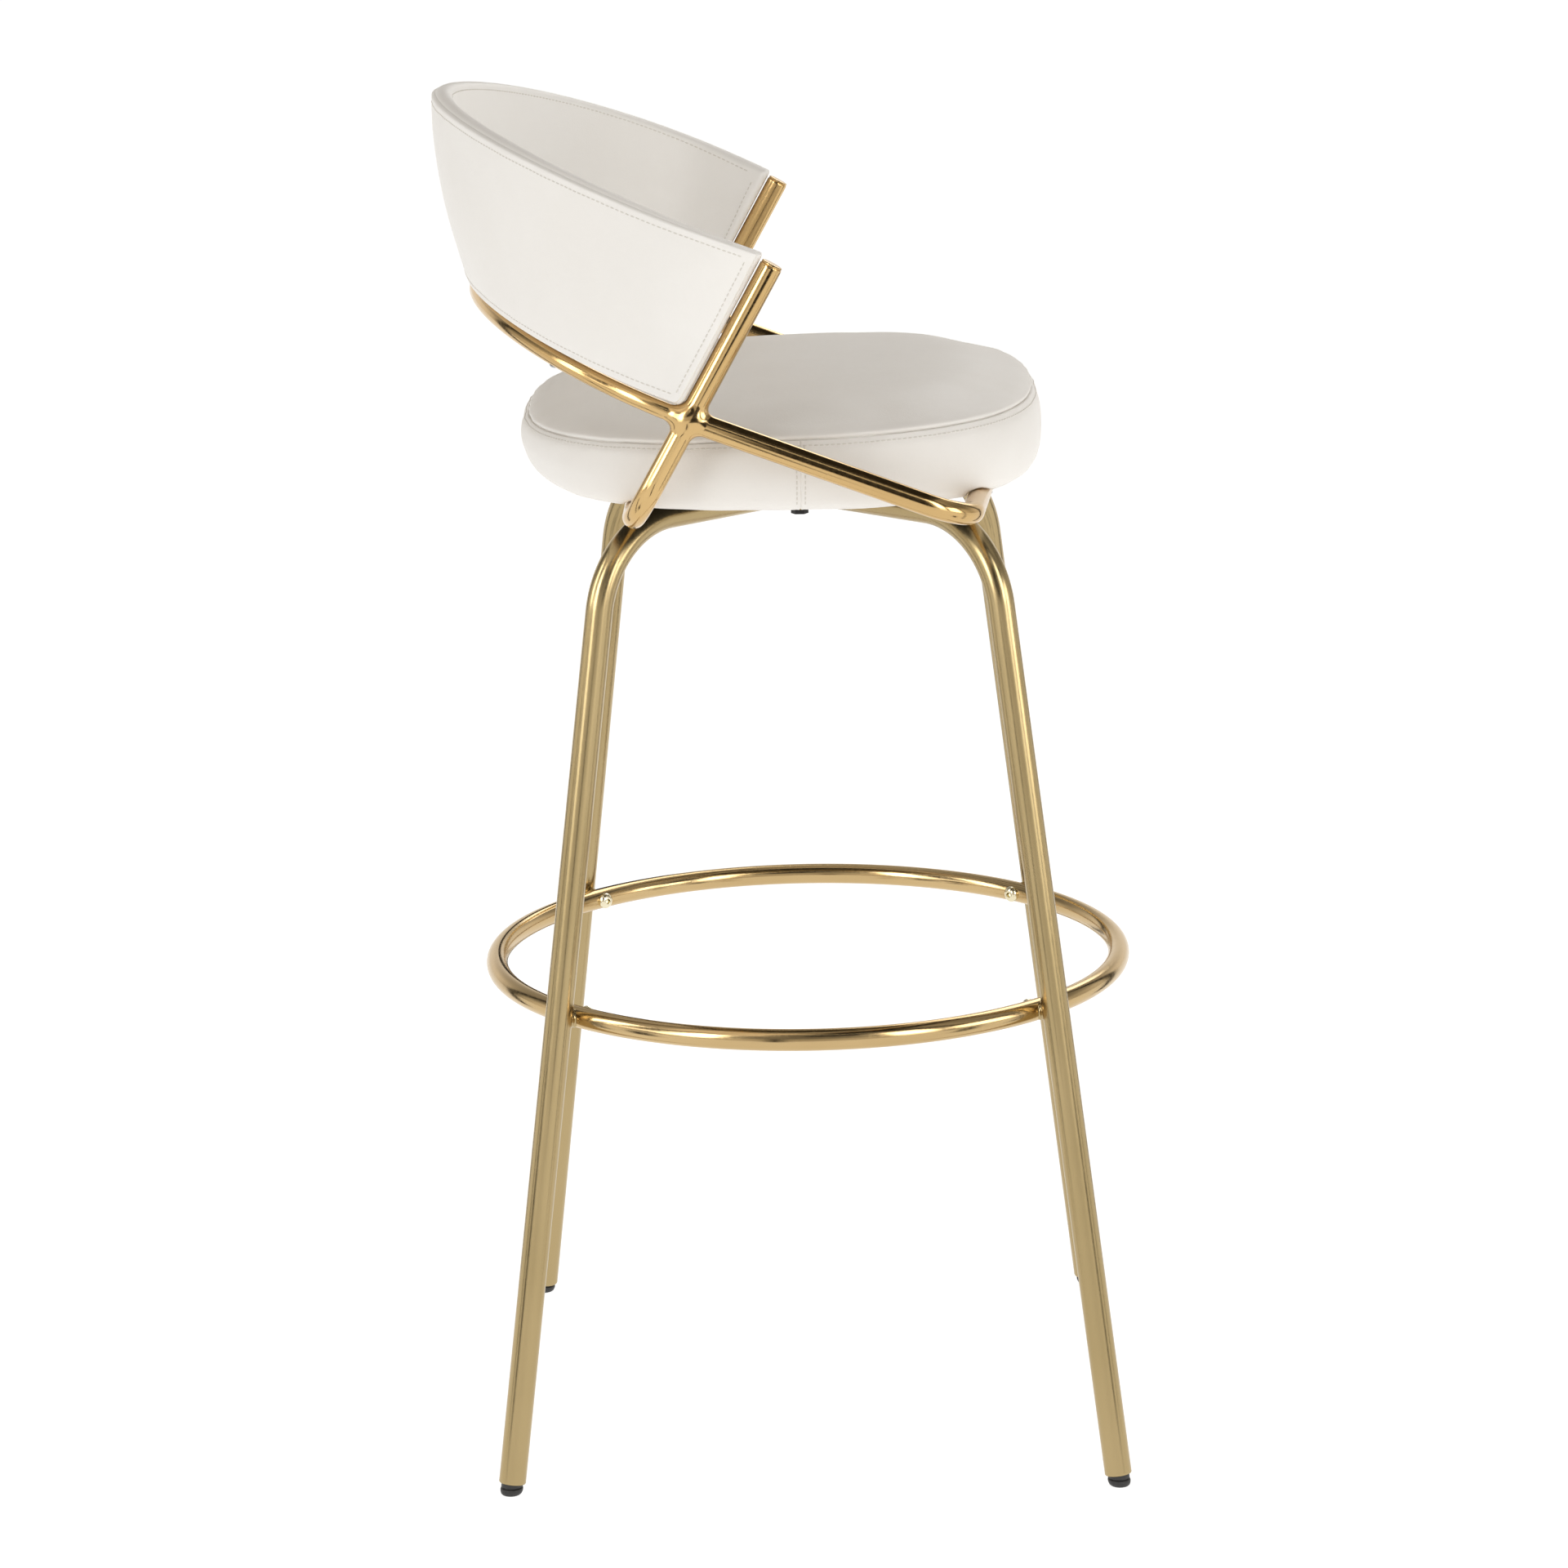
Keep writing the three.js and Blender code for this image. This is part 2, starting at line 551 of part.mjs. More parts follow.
// Side profile of the cushion, from the lower turn-in up to the seam, as [inset, height].
const BAND_LOW = BOARD_Z - COVER_DROP;
const bandSide = [[14, BAND_LOW], [6.5, BAND_LOW + 2], [1.8, BAND_LOW + 9], [0, BAND_LOW + 24],
  [1, BAND_LOW + 41], [SEAM_INSET, SEAT_SEAM_Z]];
const crownAt = (fraction) => SEAT_SEAM_Z + SEAT_CROWN * (1 - fraction ** CROWN_POWER) ** (1 / CROWN_POWER);
const crownStops = [0.995, 0.965, 0.9, 0.78, 0.6, 0.35, 0];

// The side and the crown of the cushion, at a depth below its outer surface.
const sideLayer = (depth) => bandSide.map(([inset, z]) => [1, inset + depth, z + (inset > 6 ? depth : 0)]);
const crownLayer = (depth) => crownStops.map((fraction) => [
  fraction,
  (SEAM_INSET + depth) * fraction,
  crownAt(fraction) - depth,
]);

const foamDepth = SKIN_T + GAP + 0.2;
const runGuards = [rearPath, frontPath].map((path) => solidTube(path, FRAME_R + 2 * GAP));
const foamOuter = cushionShape([
  [0, 0, BAND_LOW + foamDepth],
  ...sideLayer(foamDepth),
  ...crownLayer(foamDepth),
]);
const boardPocket = cushionShape([
  [0, 0, BOARD_Z - BOARD_T],
  [1, BOARD_INSET - GAP, BOARD_Z - BOARD_T],
  [1, BOARD_INSET - GAP, BOARD_TOP + GAP],
  [0, 0, BOARD_TOP + GAP],
]);
add('seat_foam', cut(foamOuter, boardPocket, ...runGuards), foamColour);

const band = cushionShape([
  ...sideLayer(0),
  ...sideLayer(SKIN_T).reverse(),
  sideLayer(0)[0],
]);
add('seat_side_band', cut(band, ...runGuards), creamLeather);

const seamFoot = [1, SEAM_INSET, SEAT_SEAM_Z + GAP];
add('seat_top_panel', cushionShape([
  seamFoot,
  ...crownLayer(0),
  ...crownLayer(SKIN_T).reverse(),
  [1, SEAM_INSET + SKIN_T, SEAT_SEAM_Z + GAP],
  seamFoot,
]), creamLeather);

// ---- Back --------------------------------------------------------------------------------------
// The middle surface is ruled between a lower edge over the hoop and a wider, higher top edge.
const endClear = (FRAME_R + 1.2) * Math.hypot(1, POST_LEAN);
const backEndY = (z) => postY(z) + endClear;
const lowerEndZ = CROSSING_Z + BACK_LIFT + 4;
const lowerSweep0 = (backEndY(lowerEndZ) - CROSSING_Y) / (HOOP_REAR_Y - CROSSING_Y);
const lowerAngle0 = Math.asin(lowerSweep0 ** (HOOP_POWER / 2));
const topSweep0 = (BACK_CENTRE_Y - backEndY(BACK_END_Z)) / BACK_HALF_Y;
const topAngle0 = -Math.asin(topSweep0 ** (BACK_POWER / 2));

const signedPower = (value, power) => Math.sign(value) * Math.abs(value) ** power;

function lowerEdge(t) {
  const angle = lowerAngle0 + (Math.PI - 2 * lowerAngle0) * t;
  const point = hoopPoint(angle / Math.PI);
  point.z += BACK_LIFT;
  return point;
}

function topEdge(t) {
  const angle = topAngle0 + (Math.PI - 2 * topAngle0) * t;
  const y = BACK_CENTRE_Y + BACK_HALF_Y * signedPower(Math.sin(angle), 2 / BACK_POWER);
  const x = -BACK_HALF_X * signedPower(Math.cos(angle), 2 / BACK_POWER);
  const rise = (y - backEndY(BACK_END_Z)) / (BACK_CENTRE_Y + BACK_HALF_Y - backEndY(BACK_END_Z));
  const z = BACK_END_Z + (BACK_REAR_Z - BACK_END_Z) * rise + BACK_SWELL * rise * (1 - rise);
  return v3(x, y, z);
}

function backPoint(t, height, offset) {
  const middle = lowerEdge(t).lerp(topEdge(t), height);
  const before = lowerEdge(Math.max(t - 0.01, 0)).lerp(topEdge(Math.max(t - 0.01, 0)), height);
  const after = lowerEdge(Math.min(t + 0.01, 1)).lerp(topEdge(Math.min(t + 0.01, 1)), height);
  const along = after.sub(before);
  const outward = v3(-along.y, along.x, 0).normalize();
  return middle.addScaledVector(outward, offset);
}

// A curved sheet between two offsets from the middle surface, with a swell on its outer side.
// Both faces are split into triangles along the same diagonals, so that sheets nest cleanly.
function backSheet(from, to, swell = 0, columns = 28, rows = 4) {
  const points = [];
  for (const outer of [0, 1]) {
    for (let row = 0; row <= rows; row += 1) {
      for (let column = 0; column <= columns; column += 1) {
        const t = column / columns;
        const height = row / rows;
        const edgeFade = Math.min(1, 8 * Math.min(t, 1 - t));
        const bulge = outer * swell * 4 * height * (1 - height) * edgeFade;
        points.push(backPoint(t, height, from + (to - from) * outer + bulge));
      }
    }
  }
  const at = (outer, row, column) => (outer * (rows + 1) + row) * (columns + 1) + column;
  const triangles = [];
  const quad = (a, b, c, d) => triangles.push(a, b, c, a, c, d);
  for (let row = 0; row < rows; row += 1) {
    for (let column = 0; column < columns; column += 1) {
      const [a, b] = [at(1, row, column), at(1, row, column + 1)];
      const [c, d] = [at(1, row + 1, column + 1), at(1, row + 1, column)];
      const step = at(1, 0, 0);
      quad(a, d, c, b);
      quad(a - step, b - step, c - step, d - step);
    }
  }
  for (let column = 0; column < columns; column += 1) {
    quad(at(0, 0, column), at(1, 0, column), at(1, 0, column + 1), at(0, 0, column + 1));
    quad(at(0, rows, column + 1), at(1, rows, column + 1), at(1, rows, column), at(0, rows, column));
  }
  for (let row = 0; row < rows; row += 1) {
    quad(at(0, row + 1, 0), at(1, row + 1, 0), at(1, row, 0), at(0, row, 0));
    quad(at(0, row, columns), at(1, row, columns), at(1, row + 1, columns), at(0, row + 1, columns));
  }
  const geometry = new THREE.BufferGeometry().setFromPoints(points);
  geometry.setIndex(triangles);
  return geometry;
}
const coreHalf = BACK_CORE_T / 2;

const longGuards = sides.map(({ x }) => rod(
  v3(x * SIDE_X, postY(RUN_Z), RUN_Z),
  v3(x * SIDE_X, postY(POST_TOP_Z + 20), POST_TOP_Z + 20),
  FRAME_R + POST_CLEARANCE,
  16,
));
const backScrews = [
  { name: 'right', t: 0.2 },
  { name: 'rear', t: 0.5 },
  { name: 'left', t: 0.8 },
];
// A rod square to the hoop, between two heights above the underside of the hoop.
function backScrewRod(t, radius, from, to) {
  const along = topEdge(t).sub(lowerEdge(t)).normalize();
  const foot = hoopPoint((lowerAngle0 + (Math.PI - 2 * lowerAngle0) * t) / Math.PI)
    .addScaledVector(along, -HOOP_R);
  return rod(
    foot.clone().addScaledVector(along, from),
    foot.clone().addScaledVector(along, to),
    radius,
    8,
  );
}
const screwBores = backScrews.map(({ t }) => (
  backScrewRod(t, BACK_SCREW_R + GAP, -2, BACK_SCREW_LENGTH + 1)
));
const trimmed = (sheet) => cutToOne(sheet, ...longGuards, ...screwBores);
const hoopTube = tube(new SampledPath(hoopPoint, 28), HOOP_R, HOOP_WALL, 10);
add('back_hoop', cutToOne(hoopTube, ...postGuards, ...screwBores), brightGold);
for (const { name, t } of backScrews) {
  const head = backScrewRod(t, BACK_SCREW_HEAD_R, -0.6 - BACK_SCREW_HEAD_T, -0.6);
  add(`back_screw_${name}`, join(backScrewRod(t, BACK_SCREW_R, -1, BACK_SCREW_LENGTH), head), zinc);
}
add('back_core', trimmed(backSheet(-coreHalf, coreHalf)), plywood);
add('back_pad_inner', trimmed(backSheet(-BACK_T / 2, -coreHalf - GAP)), creamLeather);
add('back_pad_outer', trimmed(backSheet(coreHalf + GAP, BACK_T / 2, BACK_BULGE)), creamLeather);

export default stool;
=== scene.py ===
"""Bar stool with a footrest ring, a swivelling round-cornered seat and a wrap-around back.

Lengths in the geometry code are millimetres about the swivel axis, and piece() turns them into metres in
the row frame. The sitter faces -Y, and the sitter's right is -X.
"""

import math

import bpy
import numpy as np
from mathutils import Matrix, Vector


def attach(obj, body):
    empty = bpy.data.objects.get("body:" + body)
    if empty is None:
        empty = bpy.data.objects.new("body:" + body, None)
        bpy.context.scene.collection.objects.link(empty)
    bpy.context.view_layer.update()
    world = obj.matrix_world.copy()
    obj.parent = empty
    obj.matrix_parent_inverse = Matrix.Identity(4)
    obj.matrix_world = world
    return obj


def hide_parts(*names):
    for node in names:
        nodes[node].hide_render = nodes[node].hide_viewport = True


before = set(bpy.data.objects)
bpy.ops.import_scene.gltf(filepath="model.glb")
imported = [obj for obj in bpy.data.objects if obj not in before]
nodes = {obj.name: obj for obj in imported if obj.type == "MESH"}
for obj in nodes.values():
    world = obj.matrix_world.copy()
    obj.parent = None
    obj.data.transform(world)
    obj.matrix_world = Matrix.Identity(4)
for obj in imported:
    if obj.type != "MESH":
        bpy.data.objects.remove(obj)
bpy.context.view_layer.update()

MM = 0.001
SWIVEL_Y = -9.375             # swivel axis behind the middle of the stool, in the row frame

# ---- Base ----
LEG_R = 10
LEG_BEND = 74                 # bend radius between a leg and its arm
FOOT_REACH = 225              # of the leg's line at the floor, along X and along Y
LEG_RAKE = 0.1225             # how much that reach shrinks for each millimetre up
LEG_START_Z = 8.5
ARM_Z = 709.5
ARM_END = 2                   # the arm's end inside the hub, along X and along Y
HUB_R = 12
HUB_BOTTOM = 696
HUB_TOP = 719.5
RING_R = 238
RING_TUBE_R = 8
RING_Z = 350

# ---- Seat frame ----
FRAME_R = 8
FRAME_BEND = 36
SIDE_X = 254
RUN_Z = 731                   # of the two runs under the seat
POST_TOP_Y = 14.7
POST_TOP_Z = 911.5
POST_LEAN = 0.5595
FRONT_CORNER_Y = -121
FRONT_BOW = 24                # how far the front run bows forward
FRONT_BOW_R = 1000
CROSSING_Z = 805
CROSSING_Y = POST_TOP_Y + POST_LEAN * (POST_TOP_Z - CROSSING_Z)
REAR_RUN_Y = POST_TOP_Y + POST_LEAN * (POST_TOP_Z - RUN_Z)
HOOP_R = 6
HOOP_REAR_Y = 235.6
HOOP_RISE = 0.396             # for each millimetre to the rear
HOOP_POWER = 1.9              # of the hoop's superellipse
TUBE_RIM = 0.8                # rounding of the tubes' cut ends

# ---- Seat ----
SEAT_Y = 13
SEAT_HALF_X = 230
SEAT_HALF_Y = 193.2
SEAT_POWER = 2.6              # of the cushion's superellipse
SEAM_Z = 785
SEAM_INSET = 6
SEAT_TILT = 0.03
SEAT_CROWN = 17.5             # before the cloth pressure lifts it
CROWN_POWER = 2.7
BOARD_TOP = 752.2
LINING_Z = 739.3
LINING_INSET = 30
LINING_T = 0.7
LINING_WAVE = 0.15
BAND_LOW = 733.2
BAND_SIDE = [(15, BAND_LOW), (8.5, 735.0), (3.0, 741.5), (0, 757.2), (1.6, 774.2)]      # (inset, height)
REAR_TUCK = 8                 # how much higher the cover turns under at the rear
SIDE_SEAM_Y = -16             # the band's upright seams, from the middle of the cushion

# ---- Back ----
BACK_CENTRE_Y = 75.75
BACK_HALF_X = 268
BACK_HALF_Y = 182
BACK_POWER = 1.85             # of the top edge's superellipse
BACK_END_Z = 920.5
BACK_REAR_Z = 1014.7
BACK_SWELL = 10.7             # extra height of the top edge half-way back
BACK_LIFT = 7.8               # of the lower edge above the hoop
BACK_HALF_T = 7
BACK_BULGE = 6

# ---- Stitching ----
STITCH_LENGTH = 2.9
STITCH_STEP = 4.0
STITCH_R = 0.42
BAND_STITCH = 5               # below the seam round the cushion
SIDE_STITCH = 3               # beside the band's upright seams
BACK_STITCH = 6.0             # inside the back's edges


# ---- Materials ----
def add_node(tree, kind, output, links, values=None, **settings):
    """Adds a shader node, sets and links it, and gives the named output."""
    node = tree.nodes.new("ShaderNode" + kind)
    for name, value in settings.items():
        setattr(node, name, value)
    for name, value in (values or {}).items():
        node.inputs[name].default_value = value
    for name, source in links.items():
        tree.links.new(source, node.inputs[name])
    return node.outputs[output]


class Finish:
    """A Principled material whose colour, roughness and relief follow procedural patterns."""

    def __init__(self, name, colour, roughness, metallic=0.0):
        self.material = bpy.data.materials.new(name)
        self.material.use_nodes = True
        self.material.diffuse_color = (*colour, 1)
        self.tree = self.material.node_tree
        self.shader = self.tree.nodes["Principled BSDF"]
        self.shader.inputs["Base Color"].default_value = (*colour, 1)
        self.shader.inputs["Roughness"].default_value = roughness
        self.shader.inputs["Metallic"].default_value = metallic
        self.place = self.tree.nodes.new("ShaderNodeTexCoord").outputs["Object"]

    def noise(self, scale, detail=3.0, roughness=0.5, stretch=None):
        place = self.place
        if stretch:
            place = add_node(self.tree, "Mapping", "Vector", {"Vector": place}, {"Scale": stretch})
        values = {"Scale": scale, "Detail": detail, "Roughness": roughness}
        return add_node(self.tree, "TexNoise", "Fac", {"Vector": place}, values)

    def cells(self, scale):
        return add_node(self.tree, "TexVoronoi", "Distance", {"Vector": self.place}, {"Scale": scale})

    def mapped(self, pattern, low, high, to_low, to_high):
        values = {"From Min": low, "From Max": high, "To Min": to_low, "To Max": to_high}
        return add_node(self.tree, "MapRange", "Result", {"Value": pattern}, values)

    def tint(self, pattern, low, high, first, second):
        """The colour goes from the first to the second while the pattern goes from low to high."""
        factor = self.mapped(pattern, low, high, 0, 1)
        colours = {"A": (*first, 1), "B": (*second, 1)}
        mix = add_node(self.tree, "Mix", "Result", {"Factor": factor}, colours, data_type="RGBA")
        self.tree.links.new(mix, self.shader.inputs["Base Color"])

    def polish(self, pattern, low, high, smooth, rough):
        roughness = self.mapped(pattern, low, high, smooth, rough)
        self.tree.links.new(roughness, self.shader.inputs["Roughness"])

    def relief(self, pattern, strength, distance, under=None):
        links = {"Height": pattern}
        if under is not None:
            links["Normal"] = under
        normal = add_node(self.tree, "Bump", "Normal", links, {"Strength": strength, "Distance": distance})
        self.tree.links.new(normal, self.shader.inputs["Normal"])
        return normal


def metal(name, colour, deep, roughness, spread, bump=0.04, grain_scale=260, stretch=None):
    """Metal whose colour drifts slowly and whose roughness and fine relief follow a grain."""
    finish = Finish(name, colour, roughness, 1.0)
    finish.tint(finish.noise(7), 0.35, 0.65, colour, deep)
    lines = finish.noise(grain_scale, 2.0, 0.6, stretch)
    finish.polish(lines, 0.3, 0.7, roughness - spread, roughness + spread)
    finish.relief(lines, bump, 0.0002)
    return finish.material


def leather(name, colour, deep, roughness):
    """Coated fabric with a fine pebbled grain, faint creases and a slow drift of colour."""
    finish = Finish(name, colour, roughness)
    finish.shader.inputs["Specular IOR Level"].default_value = 0.42
    finish.tint(finish.noise(9, 4), 0.35, 0.65, colour, deep)
    crease = finish.noise(160, 5, 0.65)
    finish.polish(crease, 0.3, 0.7, roughness - 0.05, roughness + 0.07)
    pebbled = finish.relief(finish.cells(850), 0.16, 0.0004)
    finish.relief(crease, 0.13, 0.0012, pebbled)
    return finish.material


def matt(name, colour, deep, roughness, scale, bump, distance=0.0004):
    finish = Finish(name, colour, roughness)
    grain = finish.noise(scale, 4, 0.6)
    finish.tint(grain, 0.35, 0.65, colour, deep)
    finish.polish(grain, 0.3, 0.7, roughness - 0.08, roughness + 0.08)
    finish.relief(grain, bump, distance)
    return finish.material


def wood(name):
    """Plywood: long grain lines along X over a warm ground."""
    finish = Finish(name, (0.47, 0.27, 0.12), 0.65)
    lines = finish.noise(1.0, 4, 0.6, (6, 160, 160))
    finish.tint(lines, 0.3, 0.7, (0.55, 0.34, 0.16), (0.33, 0.17, 0.07))
    finish.polish(lines, 0.3, 0.7, 0.55, 0.75)
    finish.relief(lines, 0.2, 0.0004)
    return finish.material


def woven(name, colour, deep):
    """Thin non-woven lining: a close crossed texture over a soft dark ground."""
    finish = Finish(name, colour, 0.9)
    across = finish.noise(1.0, 2, stretch=(40, 900, 40))
    along = finish.noise(1.0, 2, stretch=(900, 40, 40))
    weave = add_node(finish.tree, "Math", "Value", {0: across, 1: along}, operation="MULTIPLY")
    finish.tint(weave, 0.15, 0.4, colour, deep)
    finish.polish(weave, 0.15, 0.4, 0.8, 0.97)
    finish.relief(weave, 0.5, 0.0005)
    return finish.material


SATIN_GOLD = metal("satin_gold", (0.45, 0.345, 0.178), (0.405, 0.309, 0.154), 0.24, 0.03, 0.006, 500,
                   (1, 1, 0.01))
BRIGHT_GOLD = metal("bright_gold", (0.64, 0.44, 0.20), (0.58, 0.39, 0.17), 0.16, 0.03, 0.008)
RING_GOLD = metal("ring_gold", (0.585, 0.425, 0.215), (0.53, 0.38, 0.185), 0.17, 0.03, 0.008)
BOLT_GOLD = metal("bolt_gold", (0.83, 0.77, 0.58), (0.76, 0.68, 0.47), 0.15, 0.04, 0.04, 500)
BLACK_STEEL = metal("black_steel", (0.03, 0.03, 0.032), (0.045, 0.044, 0.043), 0.42, 0.08, 0.12, 700)
ZINC = metal("zinc", (0.55, 0.56, 0.56), (0.42, 0.44, 0.46), 0.34, 0.08, 0.08, 500)
RUBBER = matt("black_rubber", (0.016, 0.016, 0.017), (0.03, 0.029, 0.028), 0.5, 500, 0.2)
SEAT_LEATHER = leather("seat_leather", (0.845, 0.822, 0.787), (0.82, 0.793, 0.754), 0.5)
# Painted light: the same leather as the seat, made lighter so that the back's inner face, which the back's
# own near side shades, comes out brighter.
LIGHTENED_BACK_LEATHER = leather("back_leather", (0.86, 0.842, 0.812), (0.838, 0.817, 0.783), 0.48)
THREAD = matt("thread", (0.74, 0.71, 0.66), (0.64, 0.61, 0.56), 0.75, 2600, 0.5, 0.0002)
PLYWOOD = wood("plywood")
LINING = woven("dust_cloth", (0.012, 0.012, 0.013), (0.03, 0.03, 0.031))


# ---- Mesh tools ----
def linked(name, points, faces, material=None):
    """An object of the scene, from points in metres."""
    mesh = bpy.data.meshes.new(name)
    mesh.from_pydata(points, [], faces)
    if material is not None:
        mesh.materials.append(material)
    obj = bpy.data.objects.new(name, mesh)
    bpy.context.scene.collection.objects.link(obj)
    return obj


def piece(name, shape, finish, body, replaced=(), sharp=35):
    """A smooth piece of a body, from a (points, faces) shape, that stands for the replaced CAD nodes.
    Its material is the finish, whose name gets a number from Blender where the frame already has that name."""
    points, faces = shape
    place = np.asarray(points, float) * MM
    place[:, 1] += SWIVEL_Y * MM
    obj = linked(name, place.tolist(), faces, finish)
    obj.data.validate()
    obj.data.polygons.foreach_set("use_smooth", [True] * len(obj.data.polygons))
    obj.data.set_sharp_from_angle(angle=math.radians(sharp))
    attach(obj, body)
    if replaced:
        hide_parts(*replaced)
    return obj


def unit(vector):
    vector = np.asarray(vector, float)
    return vector / np.linalg.norm(vector)


def around(count):
    return np.linspace(0, 2 * math.pi, count, endpoint=False)


def grid_faces(rows, columns, wrap=True, ring=False):
    """Faces between the points of a grid; wrap joins the last column to the first, and ring the last row."""
    faces = []
    for row in range(rows if ring else rows - 1):
        this, following = row * columns, (row + 1) % rows * columns
        for k in range(columns if wrap else columns - 1):
            beside = (k + 1) % columns
            faces.append([this + k, this + beside, following + beside, following + k])
    return faces


def tube_faces(rows, columns):
    """Faces of a grid that wraps round, closed at its first and its last row."""
    last = (rows - 1) * columns
    return grid_faces(rows, columns) + [list(reversed(range(columns))), list(range(last, last + columns))]


def bent_points(corners, radii, step=5.0):
    """Closely spaced points along straight stretches joined by round corners."""
    corners = [np.asarray(c, float) for c in corners]
    out = [corners[0]]

    def line_to(target):
        start = out[-1]
        count = max(int(np.linalg.norm(target - start) / step), 1)
        out.extend(start + (target - start) * (i / count) for i in range(1, count + 1))

    for i in range(1, len(corners) - 1):
        radius = radii[i - 1]
        inward = unit(corners[i] - corners[i - 1])
        outward = unit(corners[i + 1] - corners[i])
        turn = math.acos(float(np.clip(inward @ outward, -1, 1)))
        start = corners[i] - inward * radius * math.tan(turn / 2)
        side = unit(outward - inward * (outward @ inward))
        centre = start + side * radius
        line_to(start)
        count = max(int(radius * turn / 3), 14)
        for k in range(1, count + 1):
            angle = turn * k / count
            out.append(centre - side * radius * math.cos(angle) + inward * radius * math.sin(angle))
    line_to(corners[-1])
    return np.array(out)


def travelled(points):
    return np.concatenate([[0], np.cumsum(np.linalg.norm(np.diff(points, axis=0), axis=1))])


def tube(points, radius, sides, flare=None):
    """A round bar along a path, with rounded rims at its ends.
    A flare, (where it begins, width, height) measured from the far end, widens that end into a weld."""
    far = travelled(points)
    total = far[-1]
    close = [0, TUBE_RIM * 0.3, TUBE_RIM, 2 * TUBE_RIM, 4, *range(6, 16), 16, 18, 20, 22, 24]
    stops = np.unique(np.round(np.concatenate([far, close, [total - c for c in close]]), 4))
    points = np.stack([np.interp(stops, far, points[:, i]) for i in range(3)], 1)
    radii = np.full(len(stops), float(radius))
    for distance in [stops] if flare else [stops, total - stops]:
        ease = np.clip(1 - distance / TUBE_RIM, 0, 1)
        radii -= TUBE_RIM * (1 - np.sqrt(1 - ease ** 2))
    if flare:
        begins, width, height = flare
        radii += height * np.clip(1 - (total - stops - begins) / width, 0, 1) ** 2.2
    tangents = np.gradient(points, axis=0)
    tangents /= np.linalg.norm(tangents, axis=1)[:, None]
    side = unit(np.cross(tangents[0], (0.31, 0.17, 0.93)))
    angles = around(sides)[:, None]
    rings = []
    for point, tangent, size in zip(points, tangents, radii):
        side = unit(side - tangent * (side @ tangent))
        rings.append(point + size * (np.cos(angles) * side + np.sin(angles) * np.cross(tangent, side)))
    return np.concatenate(rings), tube_faces(len(points), sides)


def lathe(profile, origin, axis, sides=48, hexagons=()):
    """A turned solid about an axis; profile is (radius, height) from one closed end to the other.
    The rows listed in hexagons are hexagons with their corners at the row's radius."""
    axis = unit(axis)
    first = unit(np.cross(axis, (0.23, 0.91, 0.34)))
    angles = around(sides)[:, None]
    spokes = np.cos(angles) * first + np.sin(angles) * np.cross(axis, first)
    hexagon = math.cos(math.pi / 6) / np.cos(angles % (math.pi / 3) - math.pi / 6)
    points = []
    for row, (radius, height) in enumerate(profile):
        factor = hexagon if row in hexagons else 1.0
        points.append(np.asarray(origin, float) + axis * height + spokes * radius * factor)
    return np.concatenate(points), tube_faces(len(profile), sides)


def capsules(segments, radius, sides=8):
    """Short rounded bars, one for each (start, end, normal), that lie flat on their surface."""
    shares = ((0, 0.12), (0.06, 0.6), (0.25, 0.95), (0.5, 1), (0.75, 0.95), (0.94, 0.6), (1, 0.12))
    angles = around(sides)[:, None]
    bar_faces = [face[::-1] for face in tube_faces(len(shares), sides)]
    points, faces = [], []
    for start, end, normal in segments:
        along = unit(end - start)
        up = unit(normal - along * (normal @ along))
        ring = np.cos(angles) * np.cross(along, up) * 1.15 + np.sin(angles) * up * 0.85
        faces += [[index + len(points) * sides for index in face] for face in bar_faces]
        points += [start + (end - start) * share + ring * radius * size for share, size in shares]
    return np.concatenate(points), faces


def waves(place, seed, size, count=14):
    """A smooth repeatable ripple between about -1 and 1, with details of about this size in millimetres."""
    random = np.random.default_rng(seed)
    total = np.zeros(place.shape[:-1])
    for _ in range(count):
        direction = unit(random.normal(size=3))
        pitch = size * random.uniform(0.7, 1.5)
        total += np.sin((place @ direction) * 2 * math.pi / pitch + random.uniform(0, 2 * math.pi))
    return total / math.sqrt(count)


def bell(distance, width):
    return np.exp(-(distance / width) ** 2)


# ---- Paths ----
def reach_at(z):
    return FOOT_REACH - LEG_RAKE * z


def hoop_points(t):
    """Points of the hoop's centreline for shares t of its length, from the right post to the left."""
    angle = math.pi * np.asarray(t, float)
    sweep_share = np.abs(np.sin(angle)) ** (2 / HOOP_POWER)
    across = np.sign(np.cos(angle)) * np.abs(np.cos(angle)) ** (2 / HOOP_POWER)
    y = CROSSING_Y + (HOOP_REAR_Y - CROSSING_Y) * sweep_share
    return np.stack([-SIDE_X * across, y, CROSSING_Z + HOOP_RISE * (y - CROSSING_Y)], -1)


CORNERS = [(f"{end}_{side}", x, y) for end, y in (("front", -1), ("rear", 1))
           for side, x in (("right", -1), ("left", 1))]
rear_path = bent_points(
    [(-SIDE_X, POST_TOP_Y, POST_TOP_Z), (-SIDE_X, REAR_RUN_Y, RUN_Z), (SIDE_X, REAR_RUN_Y, RUN_Z),
     (SIDE_X, POST_TOP_Y, POST_TOP_Z)], [FRAME_BEND, FRAME_BEND])
front_path = bent_points(
    [(-SIDE_X, CROSSING_Y, CROSSING_Z), (-SIDE_X, FRONT_CORNER_Y, RUN_Z),
     (0, FRONT_CORNER_Y - FRONT_BOW, RUN_Z), (SIDE_X, FRONT_CORNER_Y, RUN_Z),
     (SIDE_X, CROSSING_Y, CROSSING_Z)], [FRAME_BEND, FRONT_BOW_R, FRAME_BEND])
hoop_path = hoop_points(np.linspace(0, 1, 161))
post_up = unit((0, -POST_LEAN, 1))

